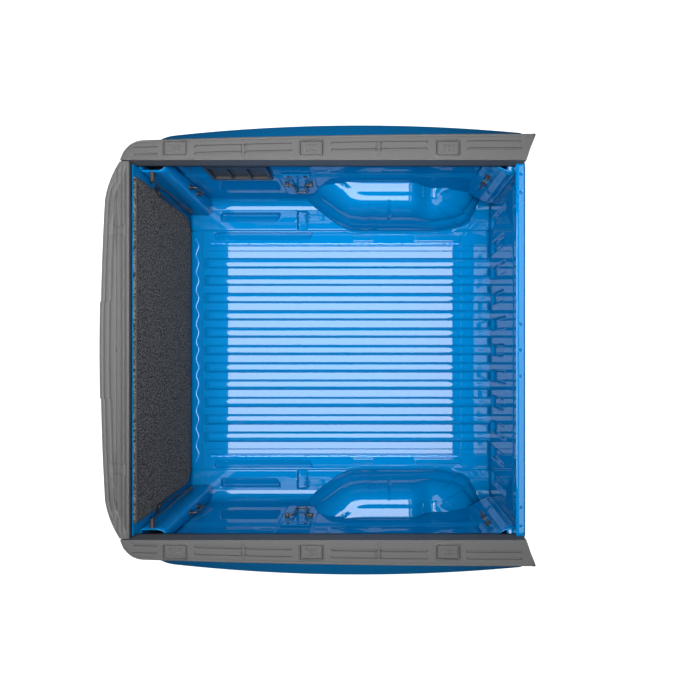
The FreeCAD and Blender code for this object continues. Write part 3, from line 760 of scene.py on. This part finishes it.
def makeHeader():
    # box header: flat at the back with its accessory holes, rolled down at the front
    p = headerPlan
    holes = (0.0,) + p["holes"]
    ys = spacing(-p["half"], p["half"], 0.03, 0.002, [s * v for v in holes for s in (1, -1)], 0.008)
    rows = []
    for y in ys:
        row = [(p["rear"], y, p["bottom"]), (p["rear"], y, p["top"] - 0.003)]
        row.append((p["rear"] + 0.001, y, p["top"] - 0.0008))
        for k in range(25):
            x = lerp(p["rear"] + 0.003, p["roll"], k / 24)
            away = [((x - p["holeX"]) ** 2 + (abs(y) - v) ** 2) / p["holeRadius"] ** 2 for v in holes]
            dent = sum(math.exp(-a ** 2) for a in away)
            row.append((x, y, p["top"] - p["holeDepth"] * min(dent, 1.0)))
        for k in range(1, 9):
            angle = math.radians(p["rollAngle"]) * k / 8
            x, drop = p["rollRadius"] * math.sin(angle), p["rollRadius"] * (1 - math.cos(angle))
            row.append((p["roll"] + x, y, p["top"] - drop))
        row.append((p["roll"] + 0.0135, y, p["bottom"] + 0.001))
        rows.append(row)
    header = gridMesh("frontHeader", rows, Vector((0, 0, 1)), 0.0009, sharp=50)
    return finishPiece(header, "body_paint", "bed", ["front_header"])


postPlan = {"inner": (0.671, 0.700), "front": (-0.588, -0.600), "waist": 0.004, "radii": (0.010, 0.040)}


def makeRearPost(side, sign):
    # leaning corner post with soft corners
    p = postPlan
    low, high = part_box("rear_post_" + side)
    rows = []
    for k in range(25):
        t = k / 24
        z = lerp(low.z - 0.004, high.z, t)
        inner = lerp(*p["inner"], t) + p["waist"] * math.sin(math.pi * t)
        front = lerp(*p["front"], t)
        corners = [(floorRear, sideY), (floorRear, inner), (front, inner), (front + 0.004, sideY)]
        rows.append([(q.x, q.y * sign, z) for q in roundedLine(corners, p["radii"], 6, 4)])
    post = gridMesh("rearPost" + side.title(), rows, Vector((0.5, -sign, 0)), sheetThickness, sharp=45)
    return finishPiece(post, "body_paint", "bed", ["rear_post_" + side])


cornerPlan = {
    "line": ((0.652, 0.7405), (0.733, 0.698), (0.7945, 0.688)), "foot": 0.120,
    "ribs": (0.676, 0.709, 0.742, 0.768), "ribDepth": 0.004,
    "gussetX": (0.735, 0.755, 0.775, 0.800), "gussetY": (0.690, 0.705, 0.722, 0.745),
    "gussetDown": 0.0465, "gussetSlope": 0.6}


def makeFrontCorner(side, sign):
    # diagonal corner panel with upright ribs, and the gusset that closes the corner under the header
    p = cornerPlan
    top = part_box("front_corner_" + side)[1].z
    path = roundedLine(p["line"], (0.02,), 6, 40)
    rows = []
    for k in range(31):
        z = lerp(floorZ + p["foot"], top, k / 30)
        row = []
        for q in path:
            rib = sum(math.exp(-((q.x - c) / 0.0035) ** 2) for c in p["ribs"])
            push = p["ribDepth"] * rib * ease(k / 3) * ease((30 - k) / 3)
            row.append((q.x - push * 0.5, (q.y - push * 0.86) * sign, z))
        rows.append(row)
    panel = gridMesh("frontCorner" + side.title(), rows, Vector((-0.5, -sign, 0)), sheetThickness, sharp=50)
    finishPiece(panel, "body_paint", "bed", ["front_corner_" + side])
    wide = p["gussetY"][-1]
    rows = [[(x, y * sign, capTop - p["gussetDown"] - p["gussetSlope"] * (wide - y)) for y in p["gussetY"]]
            for x in p["gussetX"]]
    gusset = gridMesh("cornerGusset" + side.title(), rows, Vector((0, 0, 1)), sheetThickness)
    return finishPiece(gusset, "body_paint", "bed")


makeFrontWall()
makeHeader()
for side, sign in sides:
    makeSideWall(side, sign)
    makeRearPost(side, sign)
    makeFrontCorner(side, sign)
print("upright panels done")

# rail caps
railPlan = {
    "inner": capLow.y, "cornerX": -0.651, "cornerY": 0.701, "cornerRadius": 0.0897, "frontIn": 0.788,
    "outer": 0.815, "bow": 0.0117, "grooves": (0.0315, 0.0575), "grooveHalf": 0.0046, "grooveDepth": 0.0050,
    "runs": ((-0.697, -0.599), (-0.460, -0.280), (-0.273, -0.093), (0.053, 0.230), (0.236, 0.417), (0.564, 0.772)),
    "joints": [-0.2765, 0.233], "creaseInset": 0.0095, "creaseStep": 0.0016, "creaseDepth": 0.0022,
    "coverRim": 0.008, "rimHeight": 0.0026, "coverSeat": 0.005,
    "edgeRadius": 0.005, "lipDepth": 0.022, "flangeDepth": 0.060, "wall": 0.0035}
coverBoxes = [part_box("pocket_cover_%d_left" % number) for number in (1, 2, 3)]


def railLine(x):
    # bowed outer edge in plan
    return railPlan["outer"] - railPlan["bow"] * (x - railPlan["frontIn"]) ** 2


def railOuter(x):
    p = railPlan
    if x < p["cornerX"]:
        across = p["cornerRadius"] ** 2 - (x - p["cornerX"]) ** 2
        return p["cornerY"] + math.sqrt(max(across, 0.0))
    return railLine(x)


def railInner(x):
    p = railPlan
    if x <= p["frontIn"]:
        return p["inner"]
    return lerp(p["inner"], railOuter(x), (x - p["frontIn"]) / (capHigh.x - p["frontIn"]))


def railHeight(x, y):
    p = railPlan
    z = 0.0
    inset = railLine(x) - y
    along = max(ease((min(x - a, b - x) + 0.001) / 0.004) for a, b in p["runs"])
    for line in p["grooves"]:
        z -= p["grooveDepth"] * ease((p["grooveHalf"] - abs(inset - line)) / 0.0022) * along
    fromEdge = railOuter(x) - y
    z -= p["creaseStep"] * ease((p["creaseInset"] - fromEdge) / 0.002)
    z -= p["creaseDepth"] * math.exp(-((fromEdge - p["creaseInset"]) / 0.0013) ** 2)
    for mark in p["joints"]:
        z += 0.0016 * pressed(x, y, (mark - 0.0055, mark + 0.0055, 0.718, 0.790), 0.003, 0.002)
        frame = pressed(x, inset, (mark - 0.014, mark + 0.014, 0.026, 0.064), 0.004, 0.002)
        z -= 0.002 * frame * (1 - pressed(x, inset, (mark - 0.009, mark + 0.009, 0.020, 0.070), 0.002, 0.002))
    for low, high in coverBoxes:
        around = [(low.x - d, high.x + d, low.y - d, high.y + d) for d in (p["coverRim"], 0.003)]
        inside = pressed(x, y, around[1], 0.006, 0.002)
        z += p["rimHeight"] * pressed(x, y, around[0], 0.009, 0.003) * (1 - inside) - p["coverSeat"] * inside
    return capTop - 0.0002 + min(z, p["rimHeight"])


def makeRailCap(side, sign):
    p = railPlan
    spots = [end for run in p["runs"] for end in run] + p["joints"]
    spots += [v for low, high in coverBoxes for v in (low.x - 0.004, high.x + 0.004)]
    left = [p["cornerX"] - p["cornerRadius"] * math.sin(math.pi / 2 * k / 36) for k in range(36, 0, -1)]
    left = [x for x in left if railOuter(x) > p["inner"] + 0.0005]
    xs = left + spacing(p["cornerX"], capHigh.x - 0.0015, 0.02, 0.0015, spots, 0.007)
    insets = [0.101 - 0.0012 * k for k in range(84)]
    rows = []
    for x in xs:
        inner, outer = railInner(x), railOuter(x)
        edge = min(p["edgeRadius"], (outer - inner) * 0.3)
        soft = edge * 0.5
        row = [(x, inner, capTop - d) for d in (p["flangeDepth"], 0.045, 0.03, 0.015, 0.006)]
        for k in range(4):
            angle = math.pi / 8 * k
            row.append((x, inner + soft * (1 - math.cos(angle)), capTop - soft * (1 - math.sin(angle))))
        for inset in insets:
            y = clamp(railLine(x) - inset, inner + soft, outer - edge)
            row.append((x, y, railHeight(x, y)))
        y, z = outer - edge, row[-1][2]
        for k in range(1, 6):
            angle = math.pi / 10 * k
            row.append((x, y + edge * math.sin(angle), z - edge * (1 - math.cos(angle))))
        row.append((x, outer, capTop - p["lipDepth"]))
        rows.append([(a, b * sign, c) for a, b, c in row])
    cap = gridMesh("railCap" + side.title(), rows, Vector((0, 0, 1)), p["wall"], sharp=38)
    return finishPiece(cap, "cap_plastic", "bed", ["rail_cap_" + side])


coverPlan = {
    "corner": 0.004, "border": 0.005, "bevel": 0.0016, "sink": 0.0018, "base": 0.0014, "wall": 0.0022,
    "barRise": 0.0020,
    "bars": ((-0.022, -0.009, 0.004, 0.013), (-0.022, -0.009, -0.013, -0.004), (0.009, 0.022, 0.004, 0.013),
             (0.009, 0.022, -0.013, -0.004), (-0.005, 0.005, -0.013, -0.002), (-0.005, 0.005, 0.002, 0.013))}


def makePocketCover(number, side, sign):
    # bevelled lid with a raised border and a plain bar pattern
    p = coverPlan
    low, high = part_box("pocket_cover_%d_left" % number)
    cx, cy = (low.x + high.x) / 2, (low.y + high.y) / 2
    halfX, halfY = (high.x - low.x) / 2, (high.y - low.y) / 2
    us, vs = (spacing(-half, half, coarse, 0.0006, [s * v for v in (half, half - 0.006) for s in (1, -1)], 0.003)
              for half, coarse in ((halfX, 0.002), (halfY, 0.001)))

    def height(u, v):
        inset = -roundBox(u, v, 0, 0, halfX, halfY, p["corner"])
        z = p["bevel"] * ease(inset / 0.002) - p["sink"] * ease((inset - p["border"]) / 0.0012)
        bar = max(pressed(u, v, area, 0.002, 0.0014) for area in p["bars"])
        return high.z - p["bevel"] - p["base"] + z + p["barRise"] * bar
    rows = [[(cx + u, (cy + v) * sign, height(u, v)) for v in vs] for u in us]
    lid = gridMesh("pocketCover%d%s" % (number, side.title()), rows, Vector((0, 0, 1)), p["wall"])
    name = "pocket_cover_%d_%s" % (number, side)
    return finishPiece(lid, "cap_plastic", "cover_%d_%s" % (number, side), [name])


for side, sign in sides:
    makeRailCap(side, sign)
    for number in (1, 2, 3):
        makePocketCover(number, side, sign)
print("rail caps done")

# tailgate
gatePlan = {
    "rear": 0.816, "bow": 5.2e-2, "turn": 0.565, "half": 0.709, "endX": -0.745, "bulge": 0.0083, "inner": -0.706,
    "step": 0.004, "lines": (0.020, 0.041), "lineDepth": 0.0055,
    "innerLines": (-0.754, -0.737, -0.721), "innerDepth": 0.0050,
    "ridge": 0.0024, "padDepth": 0.0030, "islandRise": 0.0026, "edgeStep": 0.0020,
    "edgeRadius": 0.006, "edgeDrop": 0.0016, "lipRadius": 0.004, "lipDepth": 0.022, "wall": 0.0035,
    # grid lines that crowd round the pressed lines
    "crossSpots": (0.008, 0.184, 0.390, 0.427, 0.475, 0.510, 0.630),
    "outerSpots": (0.0, 0.001, 0.002, 0.004, 0.008, 0.0115, 0.0125, 0.0135, 0.0145, 0.0155, 0.018, 0.024, 0.030,
                   0.0325, 0.034, 0.035, 0.036, 0.0375, 0.039),
    "innerSpots": (-0.776, -0.774, -0.772, -0.768, -0.7665, -0.765, -0.7635, -0.760, -0.757, -0.7555, -0.754,
                   -0.7525, -0.751, -0.748, -0.7465, -0.742, -0.7385, -0.737, -0.7355, -0.730, -0.724, -0.7225,
                   -0.721, -0.7195, -0.715)}


def gateOuter(y):
    # rear edge of the tailgate cap in plan
    p = gatePlan
    a = abs(y)
    step = p["step"] * ease((0.184 - a) / 0.003)
    if a <= p["turn"]:
        return -p["rear"] + p["bow"] * a * a - step
    knee = -p["rear"] + p["bow"] * p["turn"] ** 2
    t = (a - p["turn"]) / (p["half"] - p["turn"])
    return lerp(knee, p["endX"], t) - p["bulge"] * 4 * t * (1 - t)


def gateCapHeight(x, y):
    p = gatePlan
    a, inset = abs(y), x - gateOuter(y)
    z = 0.0
    for line in p["lines"]:
        z -= p["lineDepth"] * math.exp(-((inset - line) / 0.0024) ** 2) * ease((0.630 - a) / 0.02)
    for line in p["innerLines"]:
        z -= p["innerDepth"] * math.exp(-((x - line) / 0.0022) ** 2) * ease((0.690 - a) / 0.01)
    long = pressed(x, a, (-0.766, -0.748, 0.008, 0.390), 0.004, 0.003)
    pad = pressed(x, a, (-0.774, -0.722, 0.427, 0.475), 0.004, 0.003)
    island = pressed(x, a, (-0.768, -0.730, 0.436, 0.466), 0.003, 0.003)
    wedge = pressed(x, a, (-0.766, -0.748 - 0.05 * max(0, a - 0.51), 0.510, 0.630), 0.006, 0.003)
    z += p["ridge"] * max(long, wedge) - p["padDepth"] * pad + p["islandRise"] * island
    z -= p["edgeStep"] * ease((0.008 - inset) / 0.002)
    return capTop - 0.0002 + min(z, 0.0)


def makeGateCap():
    p = gatePlan
    edge, lip = p["edgeRadius"], p["lipRadius"]
    spots = [s * v for v in p["crossSpots"] for s in (1, -1)]
    middle = spacing(-p["turn"], p["turn"], 0.02, 0.0018, spots, 0.006)
    ends = [p["turn"] + (p["half"] - p["turn"]) * math.sin(math.pi / 2 * k / 22) for k in range(1, 23)]
    rows = []
    for y in [-v for v in ends[::-1]] + middle + ends:
        outer = gateOuter(y)
        xs = [min(outer + edge + v, p["inner"] - lip) for v in p["outerSpots"]]
        xs += [max(x, xs[-1]) for x in p["innerSpots"]]
        row = [(outer, y, capTop - p["lipDepth"])]
        for k in range(6):
            angle = math.pi / 2 * k / 6
            drop = p["edgeDrop"] + edge * (1 - math.sin(angle))
            row.append((outer + edge * (1 - math.cos(angle)), y, capTop - drop))
        row += [(x, y, gateCapHeight(x, y)) for x in xs]
        for k in range(1, 6):
            angle = math.pi / 2 * k / 5
            row.append((p["inner"] - lip + lip * math.sin(angle), y, capTop - lip * (1 - math.cos(angle))))
        row.append((p["inner"], y, capTop - p["lipDepth"]))
        rows.append(row)
    cap = gridMesh("tailgateCap", rows, Vector((0, 0, 1)), p["wall"], sharp=38)
    return finishPiece(cap, "cap_plastic", "tailgate", ["tailgate_cap"])


matPlan = {
    "bottom": floorZ + 0.034, "cornerRadius": 0.070, "notch": 0.012, "edgeRadius": 0.0055,
    "swell": 0.0010, "mottle": 0.0008, "tapeRadius": 0.0042, "tapeInset": 0.003, "tapeBehind": 0.0045}


def matHalfWidth(z):
    p = matPlan
    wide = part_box("tailgate_mat")[1].y
    half = lerp(wide - p["notch"], wide, ease((z - 0.585) / 0.015))
    drop = p["bottom"] + p["cornerRadius"] - z
    if drop > 0:
        half -= p["cornerRadius"] - math.sqrt(max(0.0, p["cornerRadius"] ** 2 - drop ** 2))
    return half


def makeMat():
    # soft mat: crowned face, round edges and a faint hand-laid unevenness
    p = matPlan
    low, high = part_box("tailgate_mat")
    edge = p["edgeRadius"]
    zs = [low.z + 0.0004 + 0.07 * (1 - math.cos(math.pi / 2 * k / 14)) for k in range(14)]
    zs += spacing(zs[-1] + 0.006, high.z - 0.0005, 0.008, 0.003, (0.592,), 0.012)
    shares = [-math.cos(math.pi * k / 120) for k in range(121)]
    rows = []
    for z in zs:
        half = matHalfWidth(z)
        row = []
        for share in shares:
            y = half * share
            fromEdge = min(half - abs(y), z - low.z, high.z - z)
            crown = edge * math.sqrt(max(0.0, 1 - (1 - clamp(fromEdge / edge)) ** 2))
            wave = p["swell"] * noise.noise(Vector((y * 7, z * 7, 0)))
            wave += p["mottle"] * noise.noise(Vector((y * 90, z * 90, 3)))
            row.append((high.x - edge + crown - 0.0012 + wave * clamp(fromEdge / 0.01), y, z))
        rows.append(row)
    face = gridMesh("tailgateMat", rows, Vector((1, 0, 0)))
    bm = bmesh.new()
    bm.from_mesh(face.data)
    made = bmesh.ops.extrude_edge_only(bm, edges=[e for e in bm.edges if e.is_boundary])
    for item in made["geom"]:
        if isinstance(item, bmesh.types.BMVert):
            item.co.x = low.x + 0.0002
    bmesh.ops.holes_fill(bm, edges=[e for e in bm.edges if e.is_boundary])
    bmesh.ops.recalc_face_normals(bm, faces=bm.faces)
    markSharp(bm, 50)
    bm.to_mesh(face.data)
    bm.free()
    finishPiece(face, "mat_carpet", "tailgate", ["tailgate_mat"])
    return face


def makeMatBinding():
    # stitched edge tape round the mat
    p = matPlan
    low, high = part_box("tailgate_mat")
    x, inset = high.x - p["tapeBehind"], p["tapeInset"]
    zs = spacing(low.z + 0.001, high.z - inset, 0.012, 0.003, (low.z, 0.592), 0.02)
    side = [Vector((x, matHalfWidth(z) - inset, z)) for z in zs]
    flip = [Vector((q.x, -q.y, q.z)) for q in side]
    across = [Vector((x, y, low.z + inset)) for y in (-0.45, -0.2, 0.0, 0.2, 0.45)]
    over = [Vector((x, y, high.z - inset)) for y in (0.5, 0.25, 0.0, -0.25, -0.5)]
    path = side + over + flip[::-1] + across
    tape = tubeMesh("matBinding", path + [path[0]], p["tapeRadius"], 8)
    return finishPiece(tape, "mat_carpet", "tailgate", material=matBinding)


makeGateCap()
makeMat()
makeMatBinding()
print("tailgate done")

# bedsides
skinPlan = {
    "start": -0.602, "radius": 0.160, "apex": 0.158, "half": 0.921, "bow": 0.072, "front": 0.812,
    "underCap": 0.006, "slopeStart": 0.014, "slopeDepth": 0.131, "sideStart": 0.165, "sideDepth": 0.593,
    "tuck": 0.012, "turnUnder": 0.028, "crease": 0.0015}
arch = {"x": 0.300, "z": -0.150, "radius": 0.410, "lip": 0.020}
lampPlan = {"front": -0.690, "ribDepth": 0.0008, "ribPitch": 0.016, "proud": 0.002}


def skinStations():
    # plan points of the widest line with their outward normals, front to rear corner
    p = skinPlan
    found = []
    for k in range(61):
        x = lerp(p["front"], p["start"], k / 60)
        angle = math.atan(2 * p["bow"] * (p["apex"] - x))
        point = Vector((x, p["half"] - p["bow"] * (x - p["apex"]) ** 2))
        found.append((point, Vector((-math.sin(angle), math.cos(angle)))))
    last, normal = found[-1]
    centre = last - normal * p["radius"]
    start = math.atan2(-normal.x, normal.y)
    for k in range(1, 21):
        angle = lerp(start, math.pi / 2, k / 20)
        normal = Vector((-math.sin(angle), math.cos(angle)))
        found.append((centre + normal * p["radius"], normal))
    return found


def railInset(point, normal):
    # how far the rail cap's edge lies inside the widest line
    p, under = railPlan, skinPlan["underCap"]
    inset = (point.y - railLine(point.x) + under) / max(normal.y, 0.1)
    if (point - normal * inset).x < p["cornerX"]:
        w = point - Vector((p["cornerX"], p["cornerY"]))
        along = w.dot(normal)
        inset = along - math.sqrt((p["cornerRadius"] - under) ** 2 - (w.length_squared - along * along))
    return inset


def skinInset(down, rail):
    # how far the skin lies inside its shoulder, by depth below the rail caps
    p = skinPlan
    if down < p["sideStart"]:
        return rail * (1 - clamp((down - p["slopeStart"]) / p["slopeDepth"]))
    t = (down - p["sideStart"]) / p["sideDepth"]
    crease = p["crease"] * math.exp(-((t - 0.42) / 0.01) ** 2)
    return p["tuck"] * ease(t * 2.2) + p["turnUnder"] * ease((t - 0.55) / 0.45) - crease


def makeBedside(side, sign):
    ground = 0.0005
    upper = spacing(0.012, 0.200, 0.012, 0.003, (0.012, 0.145), 0.010)
    rows = []
    for point, normal in skinStations():
        rail = railInset(point, normal)
        reach = arch["radius"] ** 2 - (point.x - arch["x"]) ** 2
        low = max(ground, arch["z"] + math.sqrt(reach)) if reach > 0 else ground
        downs = upper + [lerp(upper[-1], capTop - low, k / 40) for k in range(1, 41)]
        places = [(point - normal * skinInset(down, rail), capTop - down) for down in downs]
        places.append((point - normal * (skinInset(capTop - low, rail) + arch["lip"]), low))
        rows.append([(q.x, q.y * sign, z) for q, z in places])
    skin = gridMesh("bedside" + side.title(), rows, Vector((0, sign, 0)), 0.0012, sharp=48)
    return finishPiece(skin, "body_paint", "bed", ["outer_side_" + side])


def lampStations():
    behind = [station for station in skinStations() if station[0].x < lampPlan["front"]]
    return [(point, normal, railInset(point, normal)) for point, normal in behind]


def makeTailLamp(side, sign):
    # lens that wraps the rear corner, a little proud of the skin
    p = lampPlan
    low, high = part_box("tail_lamp_" + side)
    rows = []
    for point, normal, rail in lampStations():
        row = []
        for k in range(41):
            z = lerp(low.z, high.z, k / 40)
            edge = min(ease((z - low.z) / 0.008), ease((high.z - z) / 0.008))
            rib = p["ribDepth"] * math.cos(math.tau * z / p["ribPitch"])
            q = point - normal * (skinInset(capTop - z, rail) - p["proud"] * edge + rib * edge)
            row.append((q.x, q.y * sign, z))
        rows.append(row)
    lens = gridMesh("tailLamp" + side.title(), rows, Vector((-1, sign, 0)), 0.004)
    return finishPiece(lens, "lamp_lens", "bed", ["tail_lamp_" + side])


def makeLampHousing(side, sign):
    # dark bowl behind the lens
    low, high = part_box("tail_lamp_" + side)
    middle = (low.z + high.z) / 2
    bowlLine = ((0.010, low.z), (0.030, low.z), (0.034, middle), (0.030, high.z), (0.010, high.z))
    rows = []
    for point, normal, rail in lampStations():
        places = [(point - normal * (skinInset(capTop - z, rail) + depth), z) for depth, z in bowlLine]
        rows.append([(q.x, q.y * sign, z) for q, z in places])
    bowl = gridMesh("lampHousing" + side.title(), rows, Vector((1, -sign, 0)))
    return finishPiece(bowl, "black_plastic", "bed")


for side, sign in sides:
    makeBedside(side, sign)
    makeTailLamp(side, sign)
    makeLampHousing(side, sign)
print("bedsides done")

# tie-down loop plates
loopPlan = {
    "plateHalf": 0.062, "plateTall": 0.099, "plateThick": 0.0044, "edge": 0.006, "dish": 0.0025,
    "saddleAt": 0.052, "saddle": (0.018, 0.020, 0.018), "boltAt": 0.036, "boltDown": 0.018, "boltSize": 0.6}


def makeLoopPlates():
    p = loopPlan
    low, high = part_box("loop_brackets")
    midX, zLow, zHigh = (low.x + high.x) / 2, high.z - p["plateTall"], high.z
    dishArea = (-0.030, 0.030, zLow + 0.020, zHigh - 0.012)
    for side, sign in sides:
        rows = []
        for i in range(61):
            x = lerp(-p["plateHalf"], p["plateHalf"], i / 60)
            row = []
            for k in range(49):
                z = lerp(zLow, zHigh, k / 48)
                edge = ease(min(p["plateHalf"] - abs(x), z - zLow, zHigh - z) / p["edge"])
                dish = p["dish"] * pressed(x, z, dishArea, 0.010, 0.008)
                row.append((midX + x, sign * (sideY - 0.0004 - p["plateThick"] * edge + dish), z))
            rows.append(row)
        plate = gridMesh("loopPlate" + side.title(), rows, Vector((0, -sign, 0)), sharp=60)
        finishPiece(plate, "body_paint", "bed")
    saddle = roundedBlock("saddlePattern", p["saddle"], 0.004)
    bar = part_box("tie_loop_left")
    y, z = (bar[0].y + bar[1].y) / 2, bar[1].z - 0.0045
    corners = [(s, sign) for s in (1, -1) for sign in (1, -1)]
    places = [((midX + s * p["saddleAt"], sign * (y + 0.001), z), (0, 0, 0)) for s, sign in corners]
    saddles = placeOnPoints("loopSaddles", saddle, places, 1.0, blackSteel)
    finishPiece(saddles, "black_steel", "bed", ["loop_brackets"])
    places = [((midX + s * p["boltAt"], sign * (sideY - 0.0046), zHigh - p["boltDown"]), (sign * math.pi / 2, 0, 0))
              for s, sign in corners]
    heads = placeOnPoints("loopBolts", boltHead, places, p["boltSize"], blackSteel)
    finishPiece(heads, "black_steel", "bed")


makeLoopPlates()

# finishes of the nodes that stay as they are; a star stands for both sides
plainNodes = {
    "body_paint": ("tailgate_outer", "tailgate_inner", "top_rail_*", "rear_jambs", "cross_sills", "rear_sill",
                   "stake_pockets"),
    "black_plastic": ("wheel_arch_*", "handle_cup", "tailgate_handle", "side_vent", "tailgate_closer"),
    "zinc_steel": ("handle_pin", "latch_plates", "latch_rods", "strikers", "hinge_pins", "latch_claw_*"),
    "hook_loop": ("mat_fasteners",),
    "black_steel": ("stay_upper_*", "stay_lower_*", "corner_hooks", "tie_loop_*", "stay_studs_post",
                    "stay_studs_gate")}
for slotName, names in plainNodes.items():
    for name in sorted({name.replace("*", side) for name in names for side, sign in sides}):
        for place in bpy.data.objects[name].material_slots:
            place.material = slotMaterials[slotName]
print("plain nodes finished")


# stage
stagePlan = {
    "cameraX": 0.207, "cameraHeight": floorZ + 2.112, "lens": 21.7, "shiftX": -0.0314,
    "floorHalf": 12, "floorDown": 0.0005, "floorGrey": 0.28, "floorGlow": 0.93,
    "horizonGrey": 0.18, "skyGrey": 0.03}
lightPlan = {
    "softbox": {"place": (-0.2025, 0.0, floorZ + 2.6), "size": (2.611, 2.35), "power": 173.0},
    "frontSoftbox": {"place": (1.90, 0.0, floorZ + 2.6), "size": (0.80, 3.40), "power": 20.0},
    "leftLight": {"place": (-0.1, 0.45, 1.75), "size": (1.9, 0.25), "power": 22.0, "aim": (-0.1, 0.85, 0.7),
                  "glossy": False}}


def makeStage():
    p = stagePlan
    half, down = p["floorHalf"], p["floorDown"]
    mesh = bpy.data.meshes.new("studioFloor")
    corners = [(x * half, y * half, -down) for x, y in ((-1, -1), (1, -1), (1, 1), (-1, 1))]
    mesh.from_pydata(corners, [], [(0, 1, 2, 3)])
    ground = addObject("studioFloor", mesh)
    grey, white = (p["floorGrey"],) * 3 + (1,), (1, 1, 1, 1)
    settings = {"Base Color": grey, "Roughness": 0.9, "Emission Color": white, "Emission Strength": p["floorGlow"]}
    mesh.materials.append(newMaterial("studioWhite", settings)[0])
    ground.visible_glossy = False  # the bright backdrop stays out of the bedsides' reflections
    world = bpy.data.worlds.new("studioWorld")
    world.use_nodes = True
    tree = world.node_tree
    split, fade = tree.nodes.new("ShaderNodeSeparateXYZ"), tree.nodes.new("ShaderNodeMapRange")
    tree.links.new(tree.nodes.new("ShaderNodeTexCoord").outputs["Generated"], split.inputs[0])
    tree.links.new(split.outputs["Z"], fade.inputs["Value"])
    fades = {"From Min": 0.05, "From Max": 0.40, "To Min": p["horizonGrey"], "To Max": p["skyGrey"]}
    for label, value in fades.items():
        fade.inputs[label].default_value = value
    tree.links.new(fade.outputs["Result"], tree.nodes["Background"].inputs["Strength"])
    bpy.context.scene.world = world


def makeLight(name, place, size, power, aim=None, glossy=True):
    # lights point straight down unless they have an aim
    data = bpy.data.lights.new(name, "AREA")
    data.shape = "RECTANGLE"
    data.size, data.size_y = size
    data.energy = power
    light = bpy.data.objects.new(name, data)
    light.location = place
    if aim:
        light.rotation_euler = (Vector(aim) - Vector(place)).to_track_quat("-Z", "Y").to_euler()
    light.visible_glossy = glossy
    bpy.context.scene.collection.objects.link(light)


def makeCamera():
    p = stagePlan
    data = bpy.data.cameras.new("camera")
    data.sensor_width = 36
    data.lens = p["lens"]
    data.shift_x = p["shiftX"]
    camera = bpy.data.objects.new("camera", data)
    camera.location = (p["cameraX"], 0, p["cameraHeight"])
    bpy.context.scene.collection.objects.link(camera)
    bpy.context.scene.camera = camera


makeStage()
for name, settings in lightPlan.items():
    makeLight(name, **settings)
makeCamera()
bpy.context.scene.view_settings.view_transform = "Standard"
print("stage ready")
